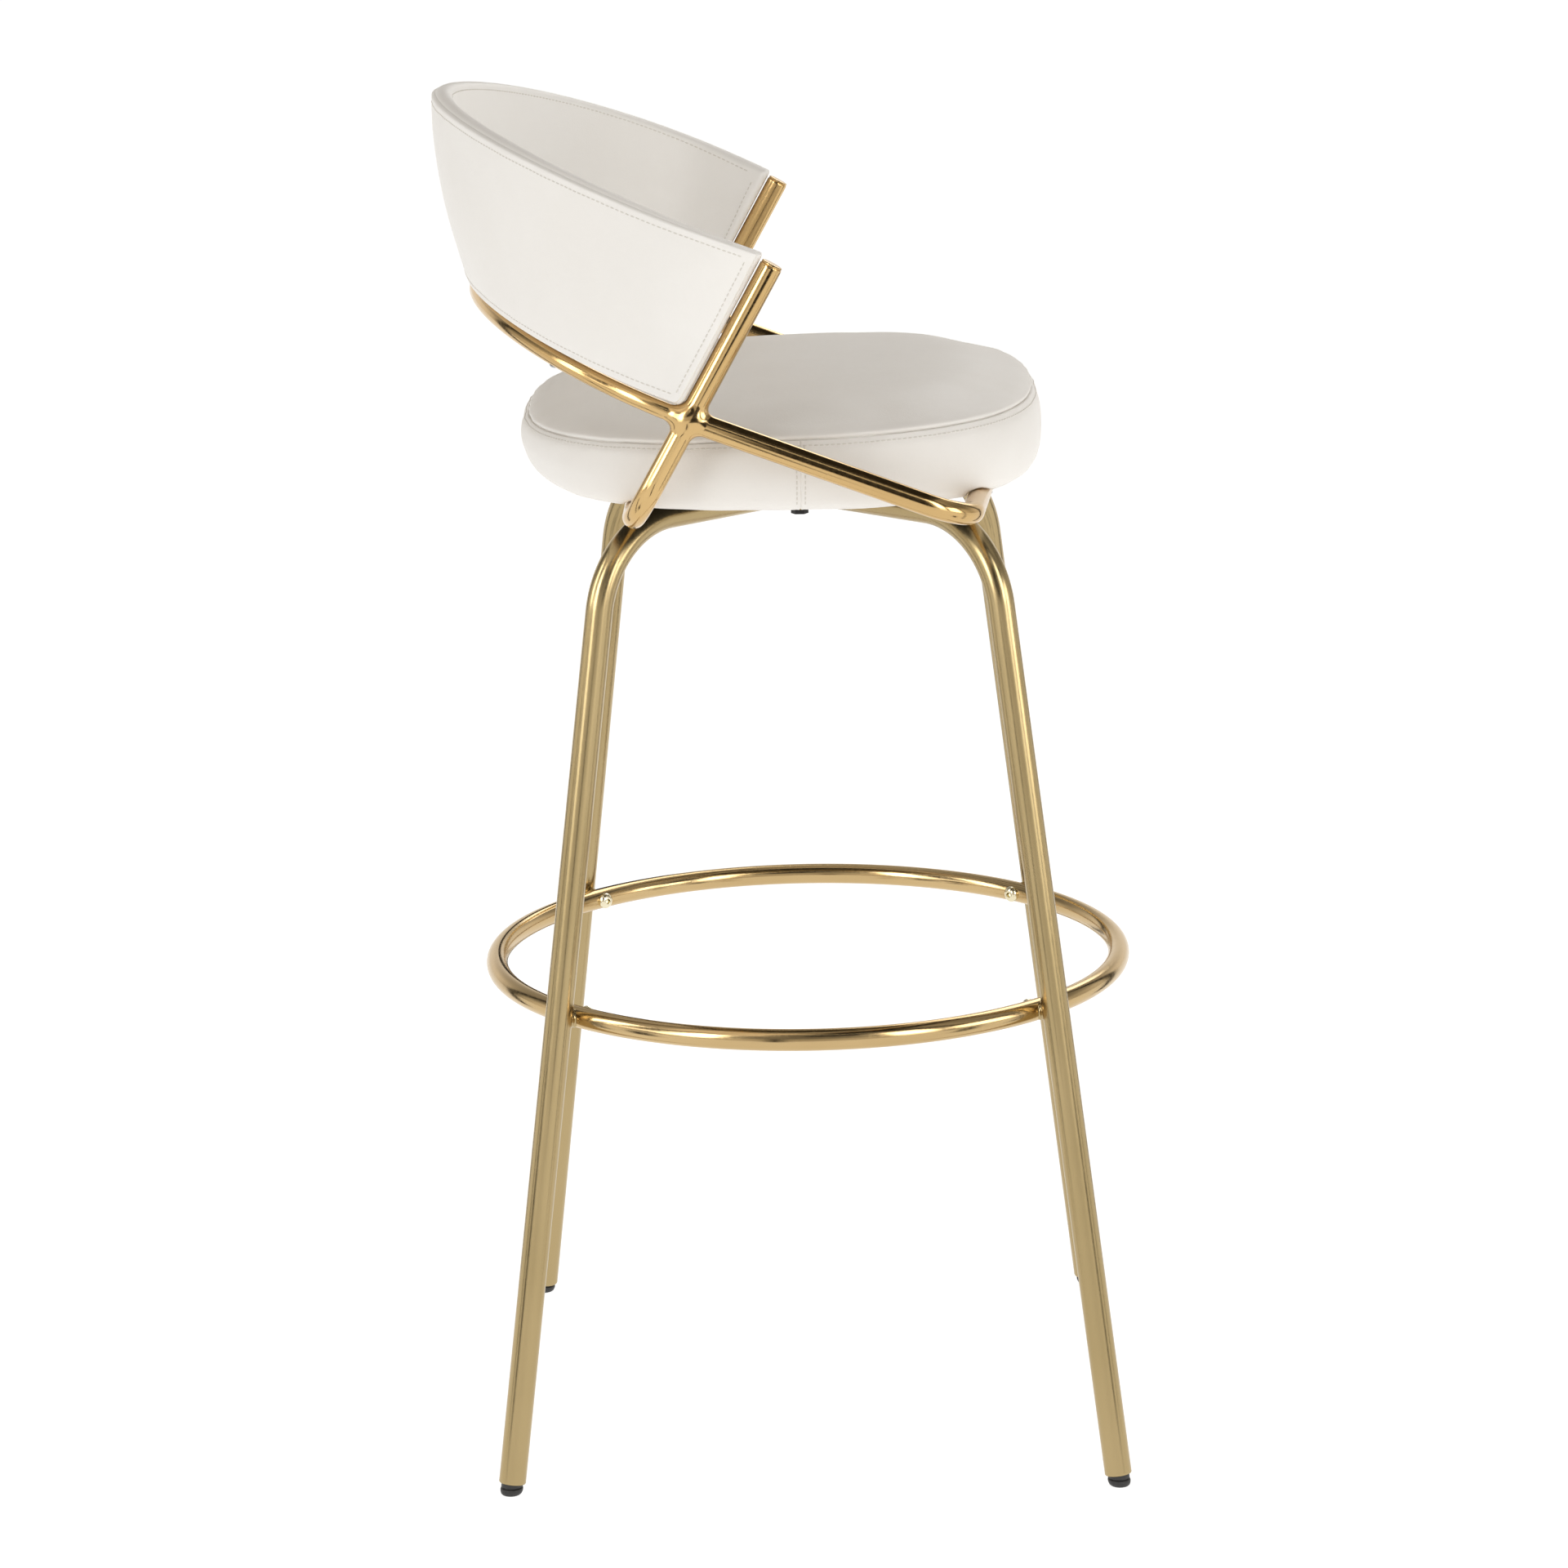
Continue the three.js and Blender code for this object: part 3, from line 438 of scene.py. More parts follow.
# ---- Base pieces ----
LEG_WELD = (HUB_R - 3, 9, 2.2)
GLIDE = [(5.4, 0.0), (6.8, 0.3), (7.7, 1.1), (8.3, 2.6), (8.5, 4.0), (8.3, 5.0), (7.7, 5.4), (7.3, 5.7),
         (7.5, 6.1), (8.1, 6.4), (8.2, 14)]
SADDLE = [(7.0, -3.6), (7.1, -1.2), (6.6, -0.3), (6.0, 0.5), (5.9, 1.2), (6.3, 2.0), (6.9, 2.8), (6.8, 6.0)]
RING_SCREW = [(3.2, -6), (3.2, -0.4), (5.8, -0.4), (6.2, 0.3), (6.2, 1.3), (5.9, 2.2), (5.2, 3.2), (4.3, 3.9),
              (3.3, 4.3), (2.5, 4.4), (2.2, 4.2), (2.1, 1.6), (0.4, 1.3)]
RING_SCREW_SOCKET = (10, 11)  # its hexagonal rows
up = np.array([0, 0, 1.0])
for name, x, y in CORNERS:
    square = np.array([x, y, 0.0])
    outward = square / math.sqrt(2)
    foot = square * reach_at(LEG_START_Z) + up * LEG_START_Z
    elbow = square * reach_at(ARM_Z) + up * ARM_Z
    path = bent_points([foot, elbow, square * ARM_END + up * ARM_Z], [LEG_BEND])
    piece(f"leg_tube_{name}", tube(path, LEG_R, 48, LEG_WELD), SATIN_GOLD, "base", [f"leg_{name}"])

    floor_point = square * reach_at(0)
    glide, glide_faces = lathe(GLIDE, floor_point, up, 56)
    glide[:, :2] += (foot - floor_point)[:2] * np.clip(glide[:, 2:3] / LEG_START_Z, 0, 2)
    piece(f"glide_cap_{name}", (glide, glide_faces), RUBBER, "base", [f"glide_{name}"])

    saddle_foot = outward * (RING_R + RING_TUBE_R - 0.2) + up * RING_Z
    saddle = lathe(SADDLE, saddle_foot, outward)
    piece(f"ring_spacer_{name}", saddle, SATIN_GOLD, "base", [f"ring_saddle_{name}"])
    screw_foot = outward * (RING_R - RING_TUBE_R + 0.1) + up * RING_Z
    screw = lathe(RING_SCREW, screw_foot, -outward, hexagons=RING_SCREW_SOCKET)
    piece(f"ring_screw_{name}", screw, BOLT_GOLD, "base", [f"ring_bolt_{name}"], 50)

turns, section = around(220), around(44)
radius = RING_R + RING_TUBE_R * np.cos(section)
level = np.tile(RING_Z + RING_TUBE_R * np.sin(section), (len(turns), 1))
ring_points = np.stack([np.outer(np.cos(turns), radius), np.outer(np.sin(turns), radius), level], -1)
ring_faces = [face[::-1] for face in grid_faces(len(turns), len(section), ring=True)]
piece("footrest_tube", (ring_points.reshape(-1, 3), ring_faces), RING_GOLD, "base", ["footrest_ring"])

HUB = [(5.6, HUB_BOTTOM + 6), (5.6, HUB_BOTTOM + 0.5), (6.1, HUB_BOTTOM), (11, HUB_BOTTOM),
       (11.7, HUB_BOTTOM + 0.3), (HUB_R, HUB_BOTTOM + 1), (HUB_R, HUB_TOP - 1), (11.6, HUB_TOP - 0.2),
       (11, HUB_TOP), (5.6, HUB_TOP), (5.6, HUB_BOTTOM + 7)]
piece("hub_barrel", lathe(HUB, (0, 0, 0), up, 64), SATIN_GOLD, "base", ["hub"])

# ---- Seat frame pieces ----
POST_CAP = [(6, -3), (7.0, -0.4), (7.35, 0.1), (7.6, 0.5), (7.6, 1.2), (7.35, 1.55), (6.7, 1.78), (4.5, 1.85),
            (2.2, 1.9), (0.5, 1.9)]
for name, path, radius, sides, replaced in (("rear_frame_tube", rear_path, FRAME_R, 44, "rear_u_tube"),
                                            ("front_frame_tube", front_path, FRAME_R, 44, "front_u_tube"),
                                            ("back_hoop_tube", hoop_path, HOOP_R, 40, "back_hoop")):
    piece(name, tube(path, radius, sides), BRIGHT_GOLD, "seat", [replaced])
for name, x in (("right", -SIDE_X), ("left", SIDE_X)):
    cap = lathe(POST_CAP, (x, POST_TOP_Y, POST_TOP_Z), post_up)
    piece(f"post_end_{name}", cap, BRIGHT_GOLD, "seat", [f"post_cap_{name}"])

# ---- Welded crossings ----
WELD_FILL = 8                 # how far the filled corners reach from where two bars meet
WELD_REACH = 27
WELD_INSET = 0.06             # keeps the weld just under the tubes' own surfaces
WELD_STUB = 60                # the length of each bar that the weld looks at


def path_gap(points, path):
    """Distance of each point from a path."""
    best = np.full(len(points), np.inf)
    for start, end in zip(path, path[1:]):
        span = end - start
        share = np.clip((points - start) @ span / (span @ span), 0, 1)
        best = np.minimum(best, np.linalg.norm(points - start - share[:, None] * span, axis=1))
    return best


def filled_gap(points, bars):
    """Distance of each point from bars of (path, radius) whose meeting corners are filled."""
    total = None
    for path, radius in bars:
        gap = path_gap(points, path) - radius
        if total is None:
            total = gap
            continue
        mix = np.clip(WELD_FILL - np.abs(total - gap), 0, None) / WELD_FILL
        total = np.minimum(total, gap) - mix ** 2 * WELD_FILL / 4
    return total


def weld_shape(centre, axis, bars, rows=100, columns=132):
    """The filled surface where the bars meet, found along lines that leave the centre evenly."""
    profile = [(math.sin(a), math.cos(a)) for a in np.linspace(0.02, math.pi - 0.02, rows)]
    rays, faces = lathe(profile, (0, 0, 0), axis, columns)
    rays /= np.linalg.norm(rays, axis=1)[:, None]
    low, high = np.zeros(len(rays)), np.full(len(rays), float(WELD_REACH))
    for _ in range(22):
        middle = (low + high) / 2
        inside = filled_gap(centre + rays * middle[:, None], bars) < -WELD_INSET
        low, high = np.where(inside, middle, low), np.where(inside, high, middle)
    return centre + rays * low[:, None], faces


crossing = np.array([-SIDE_X, CROSSING_Y, CROSSING_Z])
post_line = np.array([crossing - post_up * WELD_STUB, crossing + post_up * WELD_STUB])
side_line = np.array([crossing, crossing + unit(front_path[4] - front_path[0]) * WELD_STUB])
weld_bars = [(post_line, FRAME_R), (side_line, FRAME_R), (hoop_path[:16], HOOP_R)]
weld_points, weld_faces = weld_shape(crossing, post_up, weld_bars)
for name, mirror in (("right", 1), ("left", -1)):
    weld = (weld_points * (mirror, 1, 1), [face[::mirror] for face in weld_faces])
    piece(f"frame_weld_{name}", weld, BRIGHT_GOLD, "seat", sharp=60)


# ---- Padding ----
CLOTH_FRAMES = 20


def inflated(points, faces, held, pressure, cap):
    """How far each point of a closed pad moves when cloth pressure swells it, at most cap millimetres."""
    obj = linked("swelling", (points * MM).tolist(), faces)
    group = obj.vertex_groups.new(name="held")
    group.add([int(i) for i in np.flatnonzero(held)], 1.0, "REPLACE")
    settings = obj.modifiers.new("cloth", "CLOTH").settings
    settings.vertex_group_mass = "held"
    settings.quality = 6
    settings.mass = 0.3
    settings.tension_stiffness = 12
    settings.compression_stiffness = 12
    settings.bending_stiffness = 2
    settings.use_pressure = True
    settings.uniform_pressure_force = pressure
    settings.effector_weights.gravity = 0
    for step in range(1, CLOTH_FRAMES + 1):
        bpy.context.scene.frame_set(step)
    shaped = obj.evaluated_get(bpy.context.evaluated_depsgraph_get())
    shift = np.array([v.co for v in shaped.data.vertices]) / MM - points
    bpy.context.scene.frame_set(1)
    mesh = obj.data
    bpy.data.objects.remove(obj)
    bpy.data.meshes.remove(mesh)
    size = np.linalg.norm(shift, axis=1)
    return shift * np.minimum(1, cap / np.maximum(size, 1e-9))[:, None]


def spread(values, row_from, column_from, row_to, column_to, period=None):
    """Values at some places along rows and columns, carried to the places between them."""
    if period:
        values = np.concatenate([values, values[:, :1]], 1)
        column_from = np.append(column_from, column_from[0] + period)
    across = np.empty((len(row_from), len(column_to), 3))
    full = np.empty((len(row_to), len(column_to), 3))
    for axis in range(3):
        for i in range(len(row_from)):
            across[i, :, axis] = np.interp(column_to, column_from, values[i, :, axis])
        for k in range(len(column_to)):
            full[:, k, axis] = np.interp(row_to, row_from, across[:, k, axis])
    return full


def smoothed(values, times, closed):
    for _ in range(times):
        if closed:
            around_columns = (np.roll(values, 1, 1) + np.roll(values, -1, 1)) / 2
        else:
            around_columns = values.copy()
            around_columns[:, 1:-1] = (values[:, :-2] + values[:, 2:]) / 2
        along_rows = values.copy()
        along_rows[1:-1] = (values[:-2] + values[2:]) / 2
        values = (values * 2 + around_columns + along_rows) / 4
    return values


def grid_normals(grid):
    """Unit normals of a grid whose columns wrap round, from the neighbours along both directions."""
    normal = np.cross(np.roll(grid, -1, 1) - np.roll(grid, 1, 1), np.gradient(grid, axis=0))
    return normal / np.maximum(np.linalg.norm(normal, axis=2), 1e-9)[:, :, None]


# ---- Cushion: a grid from the middle of its underside, up the band and over the crown ----
SPLINE_STEPS = 24
BAND_ROW = 6                  # the first row of the band
MEAN_RADIUS = 212             # of the cushion, to measure along its profile
CROWN_SHARES = (1, 0.9985, 0.995, 0.988, 0.975, 0.955, 0.92, 0.87, 0.8, 0.72, 0.62, 0.5, 0.38, 0.26, 0.14,
                0.05, 0.004)
SEAT_SWELL = 4.0              # cloth pressure, and the most that it may lift a point
SEAM_DEPTH = 2.0
SIDE_SEAM_DEPTH = 0.9
STITCH_DIP = 0.22             # under the stitches below the seam
SIDE_STITCH_DIP = 0.2
PUCKER = 0.3                  # ripples beside the seam and on the band
SLOW_WAVE = 0.35              # ripples over the whole cushion


def seat_outline(angles):
    """Distance from the middle of the cushion to its outline, towards each angle."""
    return ((np.abs(np.cos(angles)) / SEAT_HALF_X) ** SEAT_POWER
            + (np.abs(np.sin(angles)) / SEAT_HALF_Y) ** SEAT_POWER) ** (-1 / SEAT_POWER)


def cushion_profile():
    """Closely spaced rows of (share of outline, inset, height), and the seam's row before spacing."""
    rows = [(share, 0, LINING_Z + 1.2) for share in (0.004, 0.5, 0.8)]
    rows += [(1, 34, LINING_Z + 1.2), (1, 28, LINING_Z + 0.6), (1, 21, 736.0)]
    rows += [(1, inset, z) for inset, z in BAND_SIDE]
    seam_row = len(rows)
    for share in CROWN_SHARES:
        rise = SEAT_CROWN * (1 - share ** CROWN_POWER) ** (1 / CROWN_POWER)
        rows.append((share, SEAM_INSET * share, SEAM_Z + rise))
    rows = np.array(rows, float)
    ends = np.concatenate([rows[:1], rows, rows[-1:]])
    dense = []
    for i in range(1, len(rows)):
        p0, p1, p2, p3 = ends[i - 1:i + 3]
        for u in np.linspace(0, 1, SPLINE_STEPS, endpoint=False):
            dense.append(0.5 * (2 * p1 + (p2 - p0) * u + (2 * p0 - 5 * p1 + 4 * p2 - p3) * u ** 2
                                + (3 * p1 - p0 - 3 * p2 + p3) * u ** 3))
    return np.array(dense + [rows[-1]]), seam_row


profile, seam_row = cushion_profile()
profile_far = travelled(np.stack([profile[:, 0] * MEAN_RADIUS - profile[:, 1], profile[:, 2]], 1))
seam_at, band_at = profile_far[seam_row * SPLINE_STEPS], profile_far[BAND_ROW * SPLINE_STEPS]


def cushion_grid(stops, angles):
    share, inset, z = (np.interp(stops, profile_far, profile[:, i])[:, None] for i in range(3))
    outline = seat_outline(angles)
    radius = np.maximum(outline * share - inset, 0.4)
    climb = np.clip((z - BOARD_TOP) / (SEAM_Z - BOARD_TOP), 0, 1)
    lowness = np.clip((SEAM_Z - z) / (SEAM_Z - BAND_LOW), 0, 1)
    tuck = REAR_TUCK * lowness * np.clip(np.sin(angles), 0, 1) ** 2 * (radius / outline) ** 3
    radius = radius - 0.6 * lowness * tuck
    height = z - SEAT_TILT * radius * np.sin(angles) * climb + tuck
    return np.stack([radius * np.cos(angles), radius * np.sin(angles) + SEAT_Y, height], -1)


close_to_seam = np.array([-4, -3, -2.2, -1.5, -1, -0.6, -0.3, 0, 0.3, 0.6, 1, 1.5, 2.2, 3, 4])
row_stops = np.unique(np.round(np.concatenate([
    np.linspace(0, band_at, 18), np.arange(band_at, seam_at - 4, 1.7), seam_at + close_to_seam,
    np.arange(seam_at + 5, profile_far[-1], 3.4), [profile_far[-1]]]), 3))
side_seam = math.asin(-SIDE_SEAM_Y / SEAT_HALF_X)
seam_angles = [2 * math.pi - side_seam, math.pi + side_seam]
fine_turn = np.array([-3.6, -2.6, -1.8, -1.1, -0.6, -0.3, 0, 0.3, 0.6, 1.1, 1.8, 2.6, 3.6]) / SEAT_HALF_X
even = [angle for angle in around(340) if min(abs(angle - seam) for seam in seam_angles) > 0.019]
cushion_angles = np.sort(np.concatenate([even, *[seam + fine_turn for seam in seam_angles]]))
cushion = cushion_grid(row_stops, cushion_angles)
rows, columns = cushion.shape[:2]

loose_stops = np.concatenate([
    np.linspace(0, band_at, 6), np.arange(band_at + 6, seam_at - 3, 7), [seam_at],
    np.arange(seam_at + 8, profile_far[-1] - 4, 10), [profile_far[-1]]])
loose_angles = around(110)
loose = cushion_grid(loose_stops, loose_angles)
fixed = np.repeat((loose_stops < band_at + 6) | (abs(loose_stops - seam_at) < 1), len(loose_angles))
push = inflated(loose.reshape(-1, 3), tube_faces(*loose.shape[:2]), fixed, SEAT_SWELL, SEAT_SWELL)
push = smoothed(push.reshape(loose.shape), 3, True)
push = spread(push, loose_stops, loose_angles, row_stops, cushion_angles, 2 * math.pi)
cushion = cushion + smoothed(push, 16, True)

normal = grid_normals(cushion)
if normal[np.argmin(abs(row_stops - (seam_at - 20))), 0] @ (1, 0, 0) < 0:
    normal = -normal
from_seam = (row_stops - seam_at)[:, None]
on_band = ((row_stops > band_at) & (row_stops < seam_at - 0.2))[:, None]
turn_gap = [np.abs((cushion_angles - seam + math.pi) % (2 * math.pi) - math.pi) for seam in seam_angles]
from_side_seam = np.min(turn_gap, 0) * SEAT_HALF_X
relief = -SEAM_DEPTH * bell(from_seam, 0.55) - STITCH_DIP * bell(from_seam + BAND_STITCH, 1.5)
relief = relief - on_band * (SIDE_SEAM_DEPTH * bell(from_side_seam, 0.6)
                             + SIDE_STITCH_DIP * bell(from_side_seam - SIDE_STITCH, 1.0))
relief = relief + PUCKER * waves(cushion, 11, 26) * bell(from_seam, 16) + SLOW_WAVE * waves(cushion, 12, 95)
relief = relief + on_band * PUCKER * waves(cushion, 13, 42)
cushion = cushion + normal * relief[:, :, None]


def lifted_over(grid, path, bar_radius):
    """Raises the low points of a pad that lie in a bar, so that the padding folds over it."""
    for line in grid:
        if line[:, 2].min() > path[:, 2].min() + 14:
            continue
        gaps = np.linalg.norm(line[:, None, :2] - path[None, :, :2], axis=2)
        aside = gaps.min(1)
        reach = np.minimum(aside, bar_radius)
        clear = path[gaps.argmin(1), 2] + np.sqrt(bar_radius ** 2 - reach ** 2)
        inside = (aside < bar_radius) & (line[:, 2] < clear)
        line[inside, 2] = clear[inside]


for path in (rear_path, front_path):
    low = path[path[:, 2] < RUN_Z + 6]
    close = np.concatenate([np.linspace(low[i], low[i + 1], 4, endpoint=False) for i in range(len(low) - 1)])
    lifted_over(cushion, close, FRAME_R + 0.9)

seat = piece("seat_cushion", (cushion.reshape(-1, 3), tube_faces(rows, columns)), SEAT_LEATHER, "seat",
             ["seat_foam", "seat_side_band", "seat_top_panel"], 80)


def on_cushion(stop, turn):
    """A point of the finished cushion and its outward normal."""
    row = int(np.clip(np.searchsorted(row_stops, stop) - 1, 0, rows - 2))
    u = (stop - row_stops[row]) / (row_stops[row + 1] - row_stops[row])
    turn = turn % (2 * math.pi)
    column = int(np.searchsorted(cushion_angles, turn) - 1) % columns
    following = (column + 1) % columns
    width = (cushion_angles[following] - cushion_angles[column]) % (2 * math.pi)
    v = ((turn - cushion_angles[column]) % (2 * math.pi)) / width
    a, b = cushion[row, column], cushion[row, following]
    c, d = cushion[row + 1, column], cushion[row + 1, following]
    point = (a * (1 - v) + b * v) * (1 - u) + (c * (1 - v) + d * v) * u
    return point, unit(normal[row, column])


seat_stitches = []


def seat_stitch(stop, turn, end_stop, end_turn):
    start, normal_there = on_cushion(stop, turn)
    lift = normal_there * 0.12
    seat_stitches.append((start + lift, on_cushion(end_stop, end_turn)[0] + lift, normal_there))


stop, turn, look_ahead = seam_at - BAND_STITCH, 0.0, 0.01
while turn < 2 * math.pi - look_ahead:
    rate = look_ahead / np.linalg.norm(on_cushion(stop, turn + look_ahead)[0] - on_cushion(stop, turn)[0])
    seat_stitch(stop, turn, stop, turn + STITCH_LENGTH * rate)
    turn += STITCH_STEP * rate
for seam in seam_angles:
    for turn in (seam - SIDE_STITCH / SEAT_HALF_X, seam + SIDE_STITCH / SEAT_HALF_X):
        for stop in np.arange(band_at + 12, seam_at - 6, STITCH_STEP):
            seat_stitch(stop, turn, stop + STITCH_LENGTH, turn)
piece("seat_stitching", capsules(seat_stitches, STITCH_R), THREAD, "seat")

# ---- Lining under the seat ----
lining_angles = around(180)
lining_outline = seat_outline(lining_angles)
lining_shares = [0.01, 0.2, 0.4, 0.55, 0.7, 0.82, 0.92, 0.97, 1]
lining_rows = []
for level, shares in ((0.0, lining_shares), (LINING_T, lining_shares[::-1])):
    for share in shares:
        radius = (lining_outline - LINING_INSET) * share
        plan = np.stack([radius * np.cos(lining_angles), radius * np.sin(lining_angles) + SEAT_Y,
                         np.full_like(radius, LINING_Z)], -1)
        plan[:, 2] += level + LINING_WAVE * waves(plan, 21, 60)
        lining_rows.append(plan)
lining_faces = tube_faces(len(lining_rows), len(lining_angles))
lining = piece("dust_lining", (np.concatenate(lining_rows), lining_faces), LINING, "seat", ["dust_cover"], 60)

STAPLE_HALF = 5
STAPLE_R = 0.55
STAPLE_INSET = LINING_INSET + 4
staples = []
for angle, distance in zip(lining_angles[::5], lining_outline[::5]):
    outward = np.array([math.cos(angle), math.sin(angle), 0])
    sideways = np.array([-outward[1], outward[0], 0]) * STAPLE_HALF
    centre = outward * (distance - STAPLE_INSET) + np.array([0, SEAT_Y, LINING_Z - 0.1])
    staples.append((centre - sideways, centre + sideways, -up))
staple_piece = piece("lining_staples", capsules(staples, STAPLE_R), ZINC, "seat")

# ---- Back ----
END_CLEAR = (FRAME_R + 1.2) * math.hypot(1, POST_LEAN)


def back_end_y(z):
    return POST_TOP_Y + POST_LEAN * (POST_TOP_Z - z) + END_CLEAR


LOWER_SWEEP = (back_end_y(CROSSING_Z + BACK_LIFT + 4) - CROSSING_Y) / (HOOP_REAR_Y - CROSSING_Y)
LOWER_ANGLE = math.asin(LOWER_SWEEP ** (HOOP_POWER / 2))
TOP_ANGLE = -math.asin(((BACK_CENTRE_Y - back_end_y(BACK_END_Z)) / BACK_HALF_Y) ** (BACK_POWER / 2))


def signed_power(value, power):
    return np.sign(value) * np.abs(value) ** power


def lower_edge(t):
    point = hoop_points((LOWER_ANGLE + (math.pi - 2 * LOWER_ANGLE) * t) / math.pi)
    point[..., 2] += BACK_LIFT
    return point


def top_edge(t):
    angle = TOP_ANGLE + (math.pi - 2 * TOP_ANGLE) * t
    y = BACK_CENTRE_Y + BACK_HALF_Y * signed_power(np.sin(angle), 2 / BACK_POWER)
    x = -BACK_HALF_X * signed_power(np.cos(angle), 2 / BACK_POWER)
    front = back_end_y(BACK_END_Z)
    rise = (y - front) / (BACK_CENTRE_Y + BACK_HALF_Y - front)
    z = BACK_END_Z + (BACK_REAR_Z - BACK_END_Z) * rise + BACK_SWELL * rise * (1 - rise)
    return np.stack([x, y, z], -1)


def back_middle(t, height):
    low, high = lower_edge(t), top_edge(t)
    return low + (high - low) * height[..., None]


def back_points(t, height, offset):
    """Points beside the middle surface of the back; offset is outward, and level."""
    before, after = np.clip(t - 0.01, 0, 1), np.clip(t + 0.01, 0, 1)
    along = back_middle(after, height) - back_middle(before, height)
    outward = np.stack([-along[..., 1], along[..., 0], np.zeros_like(t)], -1)
    outward /= np.linalg.norm(outward, axis=-1)[..., None]
    return back_middle(t, height) + outward * offset[..., None]


even_t = np.linspace(0, 1, 801)
half_way_far = travelled(back_middle(even_t, np.full(len(even_t), 0.5)))
BACK_LENGTH = half_way_far[-1]
RIM_STOPS = np.array([0, 0.12, 0.4, 0.85, 1.5, 2.3, 3.3, 4.6, 6.0])
PAD_COLUMNS = 236
PAD_ROWS = 34
OUTER, INNER = 0, 1
OUTER_SWELL = 2.0             # cloth pressure, and the most that it may lift a point
OUTER_HELD = 8.0              # width of the band along the edges that doesn't swell
BACK_PUCKER = 0.25            # ripples beside the stitches
BACK_SLOW_WAVE = 0.6          # ripples over a whole pad


def corner_inset(distance, size):
    """How far a rounded corner draws the end in, at a distance from the edge."""
    return size - np.sqrt(size ** 2 - np.clip(size - distance, 0, size) ** 2)


class Pad:
    """One pad of the back: two faces over a grid of upright and lengthwise stops, with rounded rims."""

    def __init__(self, inner, outer, bulge, rim, low_inset, top_inset, end_inset, corners):
        length = BACK_LENGTH - 2 * end_inset
        between = np.linspace(RIM_STOPS[-1], length - RIM_STOPS[-1], PAD_COLUMNS)[1:-1]
        self.lengths = np.concatenate([RIM_STOPS, between, length - RIM_STOPS[::-1]])
        columns_t = np.interp(self.lengths + end_inset, half_way_far, even_t)
        height = np.linalg.norm(top_edge(columns_t) - lower_edge(columns_t), axis=1)
        room = height - low_inset - top_inset
        ups = [np.full(len(self.lengths), stop) for stop in RIM_STOPS]
        shares = np.linspace(0, 1, PAD_ROWS)[1:-1]
        ups += [RIM_STOPS[-1] + share * (room - 2 * RIM_STOPS[-1]) for share in shares]
        ups += [room - stop for stop in RIM_STOPS[::-1]]
        self.from_low = np.array(ups)
        self.from_top = room - self.from_low
        self.from_end = np.minimum(self.lengths, length - self.lengths) + 0 * self.from_low
        self.nearest = np.minimum(np.minimum(self.from_low, self.from_top), self.from_end)
        self.rows, self.columns = self.from_low.shape

        inset = corner_inset(self.from_low, corners[0]) + corner_inset(self.from_top, corners[1])
        t = np.interp(end_inset + inset + self.lengths / length * (length - 2 * inset), half_way_far, even_t)
        share = (low_inset + self.from_low) / height
        ease = np.clip(1 - self.nearest / rim, 0, 1)
        round_off = np.sqrt(1 - ease ** 2) * 0.985 + 0.015
        core = (inner + outer) / 2
        swell = bulge * 4 * share * (1 - share) * np.minimum(1, 8 * np.minimum(t, 1 - t))
        outer_offset = core + (outer - core) * round_off + swell
        self.faces = [back_points(t, share, outer_offset),
                      back_points(t, share, core + (inner - core) * round_off)]
        step = self.faces[OUTER] - back_points(t, share, outer_offset - 1)
        self.outward = step / np.linalg.norm(step, axis=-1)[..., None]

    def solid(self, stride=1):
        """(points, faces) of the closed pad, or of a coarser copy of it, and its row and column stops."""
        row_stops = np.unique(np.append(np.arange(0, self.rows, stride), self.rows - 1))
        column_stops = np.unique(np.append(np.arange(0, self.columns, stride), self.columns - 1))
        points = [face[np.ix_(row_stops, column_stops)].reshape(-1, 3) for face in self.faces]
        rows, columns = len(row_stops), len(column_stops)
        step = rows * columns
        faces = []
        for face in grid_faces(rows, columns, False):
            faces.append(face[::-1])
            faces.append([index + step for index in face])
        loop = list(range(columns))
        loop += [row * columns + columns - 1 for row in range(1, rows)]
        loop += [(rows - 1) * columns + k for k in reversed(range(columns - 1))]
        loop += [row * columns for row in reversed(range(1, rows - 1))]
        faces += [[a, b, b + step, a + step] for a, b in zip(loop, loop[1:] + loop[:1])]
        return (np.concatenate(points), faces), row_stops, column_stops

    def swelling(self, pressure, cap, fixed_band):
        """How cloth pressure moves the outer face, with the pad held along its edges and inside."""
        (points, faces), row_stops, column_stops = self.solid(4)
        nearest = self.nearest[np.ix_(row_stops, column_stops)].ravel()
        held = np.concatenate([nearest < fixed_band, np.ones(len(nearest), bool)])
        push = inflated(points, faces, held, pressure, cap)[:len(nearest)]
        push = push.reshape(len(row_stops), len(column_stops), 3)
        up_middle = self.from_low[:, self.columns // 2]
        push = spread(push, up_middle[row_stops], self.lengths[column_stops], up_middle, self.lengths)
        return smoothed(push, 8, False)

    def rim_lines(self, distance):
        """Grid positions (row, column) of lines along all four edges, at one distance inside them."""
        half = self.columns // 2
        column_low = float(np.interp(distance, self.from_end[0, :half], np.arange(half)))
        steps = np.arange(self.rows)
        row_low = [np.interp(distance, self.from_low[:, c], steps) for c in range(self.columns)]
        row_top = [np.interp(-distance, -self.from_top[:, c], steps) for c in range(self.columns)]
        first = int(math.ceil(column_low)) + 1
        last = self.columns - 1 - first
        lines = [[(row[c], float(c)) for c in range(first, last + 1)] for row in (row_low, row_top)]
        for column, near in ((column_low, first), (self.columns - 1 - column_low, last)):
            lines.append([(row_low[near] + 0.6, column), (row_top[near] - 0.6, column)])
        return lines


